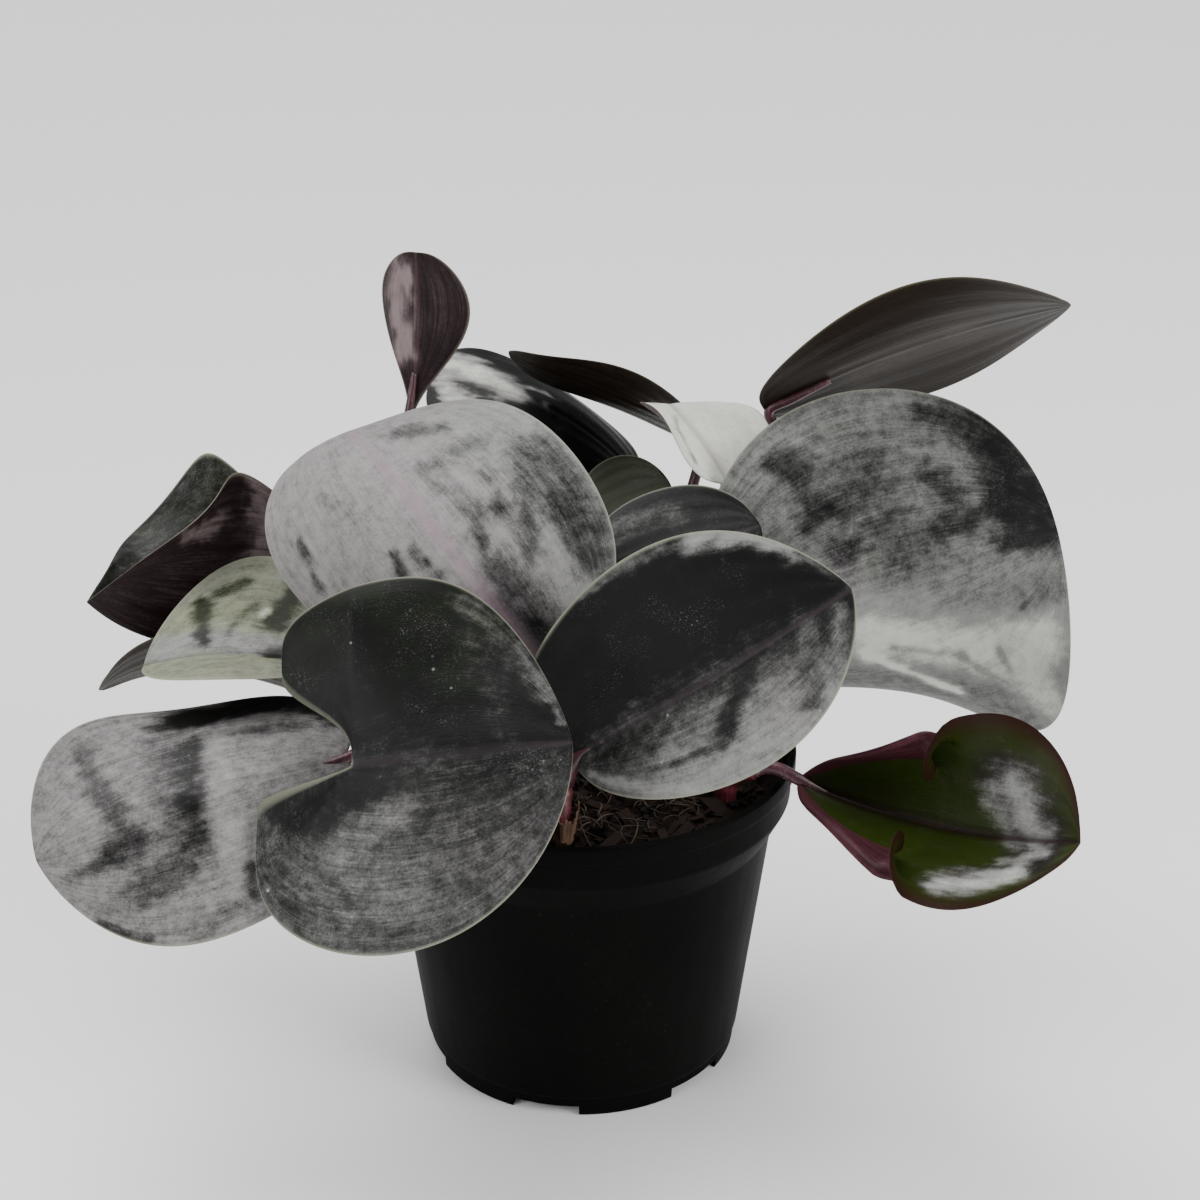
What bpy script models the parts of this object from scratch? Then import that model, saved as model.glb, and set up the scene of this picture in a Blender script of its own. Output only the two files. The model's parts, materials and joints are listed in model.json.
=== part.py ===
"""A potted geogenanthus: sixteen round, dark, silver-bloomed leaves on short burgundy shoots in a 12 cm pot.

The origin is the middle of the pot's underside, +Z is up, and the plant is seen from -Y. Sizes are in
millimetres here and become metres when a mesh is made.
"""

import math

import bmesh
import bpy
import numpy as np

MM = 0.001
GAP = 0.3  # left between two pieces that touch on the real plant

# The pot, a nursery pot of thin moulded plastic: rim bead, collar, tapering wall and a foot with drain slots
RIM_RADIUS = 60.0
RIM_HEIGHT = 94.0
BEAD_DEPTH = 5.0
COLLAR_RADIUS = 58.8
COLLAR_FOOT = 73.0
WALL_TOP_RADIUS = 54.0
FOOT_RADIUS = 44.6
FOOT_STEP = 6.0
WALL = 1.3
FLOOR = 2.0
POT_SEGMENTS = 48
SLOTS = 6
SLOT_WIDTH = 19.0
SLOT_HEIGHT = 3.2
SLOT_FIRST = math.radians(-43.5)  # direction of the first slot, from +X

# The potting mix, which fills the pot to just under its rim and lies a little higher in the middle
SOIL_EDGE = 87.0
SOIL_MOUND = 2.0
SOIL_RINGS = (12.0, 24.0, 35.0, 45.0, 53.0)
SOIL_SEGMENTS = 32
SOIL_LUMPS = 0.9

# The shoots: where each stands in the mix, where its top is, and the way its top points
STEM_FOOT = 76.0
HOLE_SIDES = 16
STEMS = {
    "stem_front": dict(foot=(-5, -44), top=(-6, -34, 108), way=(-0.2, 0.5, 0.8), radius=2.6),
    "stem_left": dict(foot=(-27, -24), top=(-47, -33, 111), way=(-0.9, -0.3, 0.4), radius=2.6),
    "stem_back_left": dict(foot=(-27, 14), top=(-42, 26, 120), way=(-0.5, 0.4, 0.8), radius=2.6),
    "stem_middle": dict(foot=(2, -8), top=(2, -4, 126), way=(0.1, 0.2, 1.0), radius=2.4),
    "stem_back": dict(foot=(14, 22), top=(19, 33, 124), way=(0.2, 0.4, 0.9), radius=2.8),
    "stem_right": dict(foot=(31, 0), top=(36, 7, 108), way=(0.4, 0.4, 0.8), radius=2.6),
    "stem_low_right": dict(foot=(39, -24), top=(47, -26, 99), way=(0.9, -0.1, 0.3), radius=2.8),
}

# The leaves. Each has a blade on a stalk that leaves its shoot and runs out under the blade's midrib.
PETIOLE_RADIUS = 1.9
PETIOLE_TAPER = (1.0, 0.92, 0.88, 0.85, 0.45)
BLADE_THICKNESS = 0.8
BLADE_STEPS = (12, 8)  # along and across

# What a leaf has where its own entry doesn't say. A pair is for the left and the right half of the blade,
# seen from the stalk with the upper side up, and a triple is read at the base, the middle and the tip.
PLAIN_LEAF = dict(
    height=1.0,  # how far up its shoot the stalk leaves it
    via=(),  # points that the stalk passes on its way from the shoot
    arch=0,  # degrees by which the midrib bends down between base and tip
    hook=0,  # further bend that comes only towards the tip
    sweep=0,  # degrees by which the midrib bends sideways
    twist=0,  # degrees by which the blade turns about its midrib
    fold=(0, 0),  # degrees by which each half rises straight from the midrib
    curl_left=(0, 0, 0),  # degrees by which a half curves up towards its margin
    curl_right=(0, 0, 0),
    roll=0,  # degrees by which the left margin rolls at the base
    share=(1, 1),  # width of each half against half the leaf's width
    belly=1.0,  # over 1 for a blade that is widest near its base
    round_base=1.0,  # under 1 for a blunt end, over 1 for a pointed one
    round_tip=1.15,
    lobe=(0, 0),  # how far each half reaches back past the stalk, against the leaf's length
    notch=(0, 0),  # how wide each half still is at its base, against its full width
    lobe_bend=(1.4, 1.4),  # how late the base of each half turns backwards, counted out from the stalk
)
LEAVES = {
    # The broad leaf at the front right, folded along its midrib
    "leaf_front_right": dict(
        stem="stem_front", height=0.80, base=(-2, -40, 110), tip=(65, -60, 166), facing=(0.04, -0.84, 0.54),
        width=62, arch=30, sweep=-8, fold=(14, 18), curl_left=(6, 10, 0), curl_right=(-8, -10, 0), belly=0.8,
        round_base=0.8, round_tip=1.45, share=(1.2, 0.85), lobe=(0.1, 0), notch=(0.2, 0),
    ),
    # The round leaf at the front left, whose two base lobes nearly meet behind its stalk
    "leaf_front_round": dict(
        stem="stem_left", height=0.86, via=((-49, -52, 112),), base=(-56, -66, 122), tip=(-2, -70, 130),
        facing=(-0.09, -0.71, 0.70), width=100, arch=30, sweep=-8, twist=-10, fold=(-5, 2), roll=-60,
        curl_left=(25, 0, 0), curl_right=(8, 0, 8), belly=1.15, round_base=0.56, round_tip=1.3,
        share=(0.96, 0.95), lobe=(0.36, 0.48), notch=(0.5, 0.16), lobe_bend=(3.2, 1.4),
    ),
    # The leaf that hangs out low on the left
    "leaf_low_left": dict(
        stem="stem_left", base=(-60, -44, 112), tip=(-134, -72, 99), facing=(-0.23, -0.68, 0.70),
        width=74, arch=30, sweep=-5, twist=-12, fold=(-10, -12), curl_left=(0, 0, -8),
        curl_right=(-10, -30, 10), belly=0.9, round_base=0.6, round_tip=1.2, share=(0.97, 1.12),
        lobe=(0.05, 0.05), notch=(0.2, 0.2),
    ),
    # The silvery leaf that crowns the plant, its left half hanging down
    "leaf_crown": dict(
        stem="stem_front", base=(-9, -29, 130), tip=(-64, 25, 176), facing=(-0.06, -0.65, 0.76),
        width=89, arch=60, hook=30, sweep=18, twist=6, curl_left=(-50, -75, -50), curl_right=(-6, -16, -6),
        round_base=0.53, round_tip=0.61, share=(1.07, 1),
    ),
    # The largest leaf, on the right, with its lower half drooping
    "leaf_right_large": dict(
        stem="stem_right", base=(40, 14, 118), tip=(128, 0, 156), facing=(0.16, -0.86, 0.49),
        width=102, arch=5, hook=-16, twist=-36, curl_left=(0, -14, 0), curl_right=(-126, -84, -10),
        belly=0.96, round_base=0.8, round_tip=0.97, share=(1.12, 1.23),
    ),
    # The young leaf low on the right, still rolled into a funnel at its base
    "leaf_low_right_funnel": dict(
        stem="stem_low_right", base=(58, -29, 97), tip=(120, -83, 109), facing=(0.09, -0.76, 0.65),
        width=64, hook=-12, sweep=-19, twist=-9, fold=(23, 23), curl_left=(200, 70, -4),
        curl_right=(200, 40, 24), belly=0.6, round_tip=1.0,
    ),
    # The leaf that points up and away on the right, seen from below
    "leaf_top_right": dict(
        stem="stem_back", height=0.74, via=((50, 44, 140), (63, 46, 161)), base=(52, 45, 176),
        tip=(135, 38, 208), facing=(-0.26, 0.63, 0.73), width=62, arch=18, twist=12,
        curl_left=(0, -17, 8), curl_right=(0, 22, 0), belly=0.74, round_base=0.55, round_tip=1.38,
    ),
    # The small upright leaf at the top, shaped like a spoon
    "leaf_top_spoon": dict(
        stem="stem_back_left", via=((-46, 44, 138),), base=(-51, 56, 160), tip=(-46, 62, 217),
        facing=(0.32, 0.93, 0.20), width=29, arch=25, hook=4, sweep=8, fold=(0, 6), curl_right=(0, 28, 0),
        belly=0.47, round_base=2.8, round_tip=0.75, share=(1.07, 0.94),
    ),
    # The narrow leaf that arches over at the back
    "leaf_back_arched": dict(
        stem="stem_back", height=0.88, via=((32, 56, 144),), base=(38, 72, 158), tip=(-21, 81, 182),
        facing=(0.03, 0.63, 0.78), width=42, arch=27, hook=-11, sweep=-6, fold=(-10, 0),
        curl_left=(0, 13, -22), curl_right=(6, 13, -10), round_base=0.8, round_tip=1.25,
    ),
    # The pale leaf behind the largest one
    "leaf_back_pale": dict(
        stem="stem_back", base=(42, 32, 158), tip=(26, 58, 173), facing=(0.40, -0.64, 0.66),
        width=45, arch=20, fold=(18, 0), curl_left=(8, 40, 0), curl_right=(0, 15, 0), belly=0.88,
        round_base=0.8,
    ),
    # The leaf behind the crown, silvery at its tip
    "leaf_back_middle": dict(
        stem="stem_back", height=0.64, via=((12, 58, 130),), base=(16, 79, 144), tip=(-46, 96, 168),
        facing=(0.29, -0.32, 0.90), width=51, arch=43, sweep=-25, twist=-16, fold=(6, 0),
        curl_left=(-13, -18, -20), curl_right=(-25, -37, -7), round_base=0.8, round_tip=0.7,
    ),
    # The leaf on the left that is folded up into a trough, so that its near half shows its underside
    "leaf_left_cupped": dict(
        stem="stem_back_left", height=0.9, base=(-66, 44, 114), tip=(-139, 20, 127),
        facing=(-0.10, 0.20, 0.97), width=98, arch=-15, hook=-60, fold=(66, 44), curl_left=(10, 10, 0),
        curl_right=(10, 20, -40), round_base=0.7, round_tip=0.85, share=(1.18, 1.32),
    ),
    # The pale green leaf in front of the cupped one
    "leaf_left_pale": dict(
        stem="stem_left", height=0.72, via=((-54, -22, 118),), base=(-68, -16, 126), tip=(-117, -12, 123),
        facing=(0, -0.08, 1), width=72, arch=28, sweep=-6, fold=(12, 10), curl_left=(-20, -5, -15),
        curl_right=(12, 9, -6), belly=0.96, round_base=0.8, round_tip=1.18, share=(0.54, 1.09),
    ),
    # The narrow arched leaf underneath the pale green one
    "leaf_left_under": dict(
        stem="stem_back_left", height=0.6, via=((-57, 19, 100),), base=(-65, 21, 91), tip=(-134, 6, 109),
        facing=(0, 0.43, 0.90), width=50, arch=56, hook=12, sweep=-8, curl_left=(-10, -8, 40),
        curl_right=(0, 20, 0),
    ),
    # Two small leaves in the middle of the plant
    "leaf_back_small": dict(
        stem="stem_middle", height=0.9, base=(-1, 34, 145), tip=(26, 36, 156), facing=(0, -0.3, 0.9),
        width=44,
    ),
    "leaf_centre_small": dict(
        stem="stem_middle", base=(5, -1, 146), tip=(49, 8, 155), facing=(-0.02, -0.55, 0.84),
        width=42, curl_left=(0, -6, 0), round_base=0.7,
    ),
}


def unit(vector):
    vector = np.asarray(vector, float)
    return vector / np.linalg.norm(vector)


def along(triple, x):
    """A value given at base, middle and tip, on the parabola through the three, at x from 0 to 1."""
    base, middle, tip = triple
    return base * (1 - x) * (1 - 2 * x) + 4 * middle * x * (1 - x) + tip * x * (2 * x - 1)


def read_at(places, known, rows):
    """Rows that are given at known places, read between them at other places."""
    return np.stack([np.interp(places, known, rows[:, i]) for i in range(rows.shape[1])], -1)


def midrib(leaf):
    """The midrib as (places from 0 to 1, directions, points), in a frame of forward, up and right.

    Its slope grows evenly by arch and with the cube of the place by hook, and its heading evenly by sweep.
    """
    place = np.linspace(0, 1, 161)
    slope = -np.radians(leaf["arch"] * place + leaf["hook"] * place**3)
    heading = np.radians(leaf["sweep"]) * place
    ways = np.stack([np.cos(slope) * np.cos(heading), np.sin(slope), np.cos(slope) * np.sin(heading)], 1)
    steps = (ways[1:] + ways[:-1]) / 2 * place[1]
    return place, ways, np.vstack([np.zeros(3), np.cumsum(steps, 0)])


def leaf_points(leaf, s, t):
    """Points in mm of a blade's middle surface.

    The value s runs from base (0) to tip (1) and t from left (-1) to right (1). Half the width is a power of
    sin(pi s), blunter where the power is under 1, and lines of equal t run from base to tip like the leaf's
    parallel veins. Each half leaves the midrib at its fold angle and curves by its curl, and the midrib
    itself is laid so that it ends at the leaf's base and tip.
    """
    place, ways, path = midrib(leaf)
    left = t < 0

    def sided(pair):
        return np.where(left, pair[0], pair[1])

    swing = np.pi * s
    half = np.sin(swing) ** (leaf["round_base"] * (1 - s) + leaf["round_tip"] * s)
    half = half + sided(leaf["notch"]) * (1 + np.cos(swing)) / 2 * (1 - half)
    x_middle = ((1 - np.cos(swing)) / 2) ** leaf["belly"]
    x_margin = x_middle - sided(leaf["lobe"]) * (1 - x_middle)
    x = x_middle + (x_margin - x_middle) * np.sin(np.pi / 2 * np.abs(t)) ** sided(leaf["lobe_bend"])
    reach = half * np.abs(t) * sided(leaf["share"])

    # The frame that carries the drawn midrib onto the line from base to tip
    base, tip = np.array(leaf["base"], float), np.array(leaf["tip"], float)
    length = np.linalg.norm(tip - base) / np.linalg.norm(path[-1])
    drawn_way = unit(path[-1])
    drawn_up = unit(np.array([0, 1, 0]) - drawn_way * drawn_way[1])
    drawn = np.stack([drawn_way, drawn_up, np.cross(drawn_way, drawn_up)])
    real_way = unit(tip - base)
    real_up = unit(np.array(leaf["facing"]) - real_way * (np.array(leaf["facing"]) @ real_way))
    real = np.stack([real_way, real_up, np.cross(real_way, real_up)])

    # The midrib's place, way, up and side at each x; a lobe behind the stalk goes straight on backwards
    inside = np.clip(x, 0, 1)
    way = read_at(inside, place, ways)
    way /= np.linalg.norm(way, axis=-1, keepdims=True)
    point = read_at(inside, place, path) + np.minimum(x, 0)[..., None] * ways[0]
    up = np.array([0, 1.0, 0]) - way * way[..., 1:2]
    up /= np.linalg.norm(up, axis=-1, keepdims=True)
    side = np.cross(way, up)
    turn = np.radians(leaf["twist"]) * (inside - 0.5)[..., None]
    up, side = up * np.cos(turn) + side * np.sin(turn), side * np.cos(turn) - up * np.sin(turn)

    # The cross-section, added up in small straight steps from the midrib outwards
    steps = 24
    shares = (np.arange(steps) + 0.5) / steps
    curl = np.where(left, along(leaf["curl_left"], inside), along(leaf["curl_right"], inside))
    roll = np.where(left, along((leaf["roll"], 0, 0), inside), 0)
    outwards = reach[..., None] * shares
    angle = sided(leaf["fold"])[..., None] + curl[..., None] * outwards + roll[..., None] * outwards**4
    angle = np.radians(angle)
    half_width = leaf["width"] / 2 / length
    across = np.cos(angle).mean(-1) * reach * half_width
    rise = np.sin(angle).mean(-1) * reach * half_width
    local = point + (across * np.sign(t))[..., None] * side + rise[..., None] * up
    return base + local * length @ (drawn.T @ real)


def lengths_along(points):
    return np.concatenate([[0], np.cumsum(np.linalg.norm(np.diff(points, axis=0), axis=1))])


def evenly(points, spacing):
    """The same line with its points evenly apart, at about the spacing."""
    lengths = lengths_along(points)
    count = max(3, round(lengths[-1] / spacing)) + 1
    return read_at(np.linspace(0, lengths[-1], count), lengths, points)


def smooth_route(corners, spacing=5.0):
    """A rounded line through corners: each point is the mean of 4 mm to each side, or of less near an end."""
    fine = evenly(np.array(corners, float), 1.0)
    mean = fine.copy()
    for i in range(1, len(fine) - 1):
        reach = min(4, i, len(fine) - 1 - i)
        mean[i] = fine[i - reach:i + reach + 1].mean(0)
    return evenly(mean, spacing)


def stem_route(stem):
    """A shoot: straight up through the mix, then one cubic curve from the surface to its top."""
    foot = np.array([*stem["foot"], SOIL_EDGE + SOIL_MOUND + 1.0])
    top = np.array(stem["top"], float)
    length = np.linalg.norm(top - foot)
    first = foot + np.array([0, 0, 0.5 * length])
    second = top - unit(stem["way"]) * 0.4 * length
    u = np.linspace(0, 1, 7)[:, None]
    bend = foot * (1 - u) ** 3 + first * 3 * u * (1 - u) ** 2 + second * 3 * u * u * (1 - u) + top * u**3
    return np.vstack([[*stem["foot"], STEM_FOOT], bend])


def petiole_route(leaf):
    """A leaf stalk from just clear of its shoot to a little way along the underside of the midrib."""
    shoot = stem_route(STEMS[leaf["stem"]])
    lengths = lengths_along(shoot)
    reach = leaf["height"] * lengths[-1]
    origin = read_at(reach, lengths, shoot)
    way = unit(origin - read_at(reach - 1.0, lengths, shoot))
    corners = [*leaf["via"], leaf["base"]]
    if leaf["height"] < 1:
        goal = np.array(corners[0]) - origin
        out = unit(goal - way * (goal @ way))
        start = origin + out * (STEMS[leaf["stem"]]["radius"] + GAP)
        rise = way
    else:
        out = rise = way
        start = origin + way * GAP
    lead = start + out * 2
    middle = leaf_points(leaf, np.array([0.14, 0.22]), np.zeros(2))
    left, right = leaf_points(leaf, np.array([0.14, 0.14]), np.array([-0.1, 0.1]))
    under = -unit(np.cross(right - left, middle[1] - middle[0]))
    rib = middle + under * BLADE_THICKNESS * 0.6
    return np.vstack([start, smooth_route([lead, lead + out * 2 + rise * 1.5, *corners, *rib])])


def material(name, colour, roughness):
    made = bpy.data.materials.new(name)
    made.use_nodes = True
    shader = made.node_tree.nodes["Principled BSDF"]
    shader.inputs["Base Color"].default_value = (*colour, 1)
    shader.inputs["Roughness"].default_value = roughness
    shader.inputs["Metallic"].default_value = 0
    made.diffuse_color = (*colour, 1)
    return made


def new_collection(name, hidden=False):
    collection = bpy.data.collections.new(name)
    collection.hide_render = hidden
    bpy.context.scene.collection.children.link(collection)
    return collection


def new_object(name, mesh, collection, finish=None):
    made = bpy.data.objects.new(name, mesh)
    if finish:
        mesh.materials.append(finish)
    collection.objects.link(made)
    return made


def as_helper(made):
    made.hide_render = True
    made.display_type = "WIRE"
    return made


def tube(name, route, radii, collection):
    """A round rod along a route in mm, as a closed mesh. The radii are read evenly along it."""
    curve = bpy.data.curves.new(name, "CURVE")
    curve.dimensions = "3D"
    curve.bevel_depth = MM
    curve.bevel_resolution = 2
    curve.use_fill_caps = True
    spline = curve.splines.new("POLY")
    spline.points.add(len(route) - 1)
    radii = np.interp(np.linspace(0, 1, len(route)), np.linspace(0, 1, len(radii)), radii)
    for point, place, radius in zip(spline.points, route, radii):
        point.co = (*(place * MM), 1)
        point.radius = radius
    drawn = bpy.data.objects.new(name + "_curve", curve)
    collection.objects.link(drawn)
    bpy.context.view_layer.update()
    mesh = bpy.data.meshes.new_from_object(drawn.evaluated_get(bpy.context.evaluated_depsgraph_get()))
    bpy.data.objects.remove(drawn)
    work = bmesh.new()
    work.from_mesh(mesh)
    bmesh.ops.remove_doubles(work, verts=work.verts, dist=0.01 * MM)
    work.to_mesh(mesh)
    work.free()
    mesh.name = name
    return new_object(name, mesh, collection)


def make_leaf(name, values, plant, helpers, finish):
    """One leaf: a flat grid bent to the blade's surface and thickened, with its stalk joined to it."""
    leaf = PLAIN_LEAF | values
    steps_along, steps_across = BLADE_STEPS
    work = bmesh.new()
    bmesh.ops.create_grid(work, x_segments=steps_along, y_segments=steps_across, size=1)
    flat = np.array([vertex.co[:2] for vertex in work.verts])
    bent = leaf_points(leaf, (flat[:, 0] + 1) / 2, -flat[:, 1]) * MM
    for vertex, place in zip(work.verts, bent):
        vertex.co = place
    bmesh.ops.remove_doubles(work, verts=work.verts, dist=0.02 * MM)
    bmesh.ops.triangulate(work, faces=work.faces)
    mesh = bpy.data.meshes.new(name)
    work.to_mesh(mesh)
    work.free()
    blade = new_object(name, mesh, plant, finish)
    thick = blade.modifiers.new("blade thickness", "SOLIDIFY")
    thick.thickness = BLADE_THICKNESS * MM
    thick.offset = 0
    radii = PETIOLE_RADIUS * np.array(PETIOLE_TAPER)
    stalk = as_helper(tube(name + "_stalk", petiole_route(leaf), radii, helpers))
    join = blade.modifiers.new("stalk", "BOOLEAN")
    join.operation = "UNION"
    join.object = stalk
    return blade


def make_stem(name, stem, plant, holes, finish):
    """A shoot, a little thicker at its foot, and the cutter for the hole that it stands in."""
    route = stem_route(stem)
    shoot = tube(name, route, stem["radius"] * np.array([1.0, 1.0, 0.95, 1.0, 0.95]), plant)
    shoot.data.materials.append(finish)
    shoot.data.shade_smooth()
    work = bmesh.new()
    depth = RIM_HEIGHT + 6 - STEM_FOOT
    width = (stem["radius"] + GAP) / math.cos(math.pi / HOLE_SIDES) * MM
    bmesh.ops.create_cone(
        work, cap_ends=True, segments=HOLE_SIDES, radius1=width, radius2=width, depth=depth * MM,
    )
    mesh = bpy.data.meshes.new(name + "_hole")
    work.to_mesh(mesh)
    work.free()
    hole = as_helper(new_object(name + "_hole", mesh, holes))
    hole.location = (stem["foot"][0] * MM, stem["foot"][1] * MM, (STEM_FOOT - GAP + depth / 2) * MM)
    return shoot


def pot_outside():
    """The pot's outer profile as (radius, height), from the top of its rim to the middle of its underside."""
    bead = RIM_HEIGHT - BEAD_DEPTH
    return [
        (COLLAR_RADIUS - 0.6, RIM_HEIGHT),
        (RIM_RADIUS - 0.5, RIM_HEIGHT),
        (RIM_RADIUS, RIM_HEIGHT - 0.6),
        (RIM_RADIUS, bead + 0.6),
        (COLLAR_RADIUS, bead),
        (COLLAR_RADIUS, bead - 6.5),
        (COLLAR_RADIUS - 1.2, bead - 9.5),
        (WALL_TOP_RADIUS + 0.8, COLLAR_FOOT + 0.8),
        (WALL_TOP_RADIUS, COLLAR_FOOT - 0.8),
        (FOOT_RADIUS + 1.1, FOOT_STEP + 0.4),
        (FOOT_RADIUS + 0.4, FOOT_STEP),
        (FOOT_RADIUS, 1.2),
        (FOOT_RADIUS - 1.0, 0.0),
        (0.0, 0.0),
    ]


def pot_inside():
    """The pot's inner profile, from the middle of its floor up to the rim."""
    bead = RIM_HEIGHT - BEAD_DEPTH
    return [
        (0.0, FLOOR),
        (FOOT_RADIUS - WALL - 0.2, FLOOR),
        (FOOT_RADIUS + 1.0 - WALL, FOOT_STEP + 1.0),
        (WALL_TOP_RADIUS - WALL, COLLAR_FOOT),
        (WALL_TOP_RADIUS - WALL + 0.6, COLLAR_FOOT + 2.0),
        (COLLAR_RADIUS - WALL - 0.8, bead - 8.5),
        (COLLAR_RADIUS - WALL, bead - 5.0),
        (COLLAR_RADIUS - WALL, RIM_HEIGHT - 1.0),
    ]


def profile_mesh(name, profile):
    """A profile of (radius, height) points in the XZ plane, as a chain of edges."""
    work = bmesh.new()
    corners = [work.verts.new((radius * MM, 0, height * MM)) for radius, height in profile]
    for lower, upper in zip(corners, corners[1:]):
        work.edges.new((lower, upper))
    mesh = bpy.data.meshes.new(name)
    work.to_mesh(mesh)
    work.free()
    return mesh


def make_pot(plant, slots, finish):
    """The pot: one closed profile turned about Z, with drain slots cut through the edge of its base."""
    profile = pot_outside() + pot_inside()
    mesh = profile_mesh("pot", profile)
    work = bmesh.new()
    work.from_mesh(mesh)
    work.verts.ensure_lookup_table()
    work.edges.new((work.verts[-1], work.verts[0]))
    work.to_mesh(mesh)
    work.free()
    pot = new_object("pot", mesh, plant, finish)
    turn = pot.modifiers.new("turn", "SCREW")
    turn.axis = "Z"
    turn.steps = turn.render_steps = POT_SEGMENTS
    turn.use_merge_vertices = True
    turn.merge_threshold = 0.0001
    turn.use_smooth_shade = True
    for number in range(SLOTS):
        work = bmesh.new()
        bmesh.ops.create_cube(work, size=1)
        mesh = bpy.data.meshes.new(f"slot_{number}")
        work.to_mesh(mesh)
        work.free()
        slot = as_helper(new_object(f"slot_{number}", mesh, slots))
        angle = SLOT_FIRST + number * math.tau / SLOTS
        slot.scale = (10 * MM, SLOT_WIDTH * MM, 2 * SLOT_HEIGHT * MM)
        slot.location = (FOOT_RADIUS * MM * math.cos(angle), FOOT_RADIUS * MM * math.sin(angle), 0)
        slot.rotation_euler = (0, 0, angle)
    cut = pot.modifiers.new("drain slots", "BOOLEAN")
    cut.operation = "DIFFERENCE"
    cut.operand_type = "COLLECTION"
    cut.collection = slots
    return pot


def soil_height(x, y):
    """Height of the mix at x, y in mm: a low mound and three crossing waves, which fade at the pot's wall."""
    radius = np.hypot(x, y) / SOIL_RINGS[-1]
    waves = np.sin(0.33 * x + 1.1) + np.sin(0.29 * y + 0.21 * x + 4.0) + np.sin(0.37 * x - 0.31 * y + 2.2)
    return SOIL_EDGE + SOIL_MOUND * (1 - radius**2) + SOIL_LUMPS * waves * (1 - radius**4) / 2


def make_soil(plant, holes, finish):
    """The potting mix: a turned plug that fills the pot, with an uneven top and a hole for each shoot."""
    wall = [(radius - GAP, height) for radius, height in pot_inside()[1:-1] if height < SOIL_EDGE - 1]
    wall[0] = (wall[0][0], FLOOR + GAP)
    top = [(0.0, SOIL_EDGE)] + [(radius, SOIL_EDGE) for radius in SOIL_RINGS]
    top.append((COLLAR_RADIUS - WALL - GAP, SOIL_EDGE))
    mesh = profile_mesh("soil", top + wall[::-1] + [(0.0, FLOOR + GAP)])
    work = bmesh.new()
    work.from_mesh(mesh)
    bmesh.ops.spin(
        work, geom=work.verts[:] + work.edges[:], axis=(0, 0, 1), cent=(0, 0, 0), angle=math.tau,
        steps=SOIL_SEGMENTS, use_merge=True,
    )
    bmesh.ops.remove_doubles(work, verts=work.verts, dist=0.05 * MM)
    bmesh.ops.recalc_face_normals(work, faces=work.faces)
    for vertex in work.verts:
        x, y, z = vertex.co / MM
        if z > SOIL_EDGE - 0.5 and math.hypot(x, y) < SOIL_RINGS[-1] + 0.5:
            vertex.co.z = soil_height(x, y) * MM
    work.to_mesh(mesh)
    work.free()
    soil = new_object("soil", mesh, plant, finish)
    cut = soil.modifiers.new("shoot holes", "BOOLEAN")
    cut.operation = "DIFFERENCE"
    cut.operand_type = "COLLECTION"
    cut.collection = holes
    return soil


def main():
    for old in list(bpy.data.objects):
        bpy.data.objects.remove(old)
    plant = new_collection("potted_geogenanthus")
    helpers = new_collection("stalks", hidden=True)
    slots = new_collection("drain_slots", hidden=True)
    holes = new_collection("shoot_holes", hidden=True)
    leaf_finish = material("leaf", (0.045, 0.050, 0.042), 0.42)
    stem_finish = material("stem", (0.110, 0.020, 0.028), 0.40)
    make_pot(plant, slots, material("pot_plastic", (0.012, 0.013, 0.012), 0.55))
    make_soil(plant, holes, material("potting_mix", (0.060, 0.030, 0.018), 0.95))
    for name, stem in STEMS.items():
        make_stem(name, stem, plant, holes, stem_finish)
    for name, values in LEAVES.items():
        make_leaf(name, values, plant, helpers, leaf_finish)


main()
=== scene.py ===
"""The looks of a potted geogenanthus.

It is a young house plant with round, dark, silver-bloomed leaves, in a pot 12 cm across.
"""

import json
import math

import bmesh
import bpy
import numpy as np
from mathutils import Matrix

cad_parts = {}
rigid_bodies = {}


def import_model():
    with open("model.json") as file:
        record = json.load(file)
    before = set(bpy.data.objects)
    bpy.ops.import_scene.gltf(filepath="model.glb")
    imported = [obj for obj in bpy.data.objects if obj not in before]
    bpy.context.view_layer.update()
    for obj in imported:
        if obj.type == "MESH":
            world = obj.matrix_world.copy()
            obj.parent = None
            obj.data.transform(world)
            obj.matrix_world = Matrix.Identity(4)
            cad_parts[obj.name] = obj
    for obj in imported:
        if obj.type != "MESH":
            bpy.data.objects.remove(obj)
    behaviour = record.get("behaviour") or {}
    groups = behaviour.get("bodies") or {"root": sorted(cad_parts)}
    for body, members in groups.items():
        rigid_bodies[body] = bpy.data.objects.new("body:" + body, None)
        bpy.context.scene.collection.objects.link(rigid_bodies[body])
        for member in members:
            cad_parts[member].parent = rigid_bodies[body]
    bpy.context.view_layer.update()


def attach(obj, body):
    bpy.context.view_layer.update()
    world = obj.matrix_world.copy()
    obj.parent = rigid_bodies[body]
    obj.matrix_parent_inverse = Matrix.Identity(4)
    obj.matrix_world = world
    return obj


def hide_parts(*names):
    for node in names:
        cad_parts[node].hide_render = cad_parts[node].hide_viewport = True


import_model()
scene = bpy.context.scene
MM = 0.001  # the sizes below are in millimetres

# The studio: a pale floor that the pot stands on, a bright plain surround, and three large soft lights.
# The lights stand for an overcast sky above the plant and for two pale walls beside it.


def new_material(name):
    """A new material, with its node tree and its Principled shader."""
    made = bpy.data.materials.new(name)
    made.use_nodes = True
    return made, made.node_tree, made.node_tree.nodes["Principled BSDF"]


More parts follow.
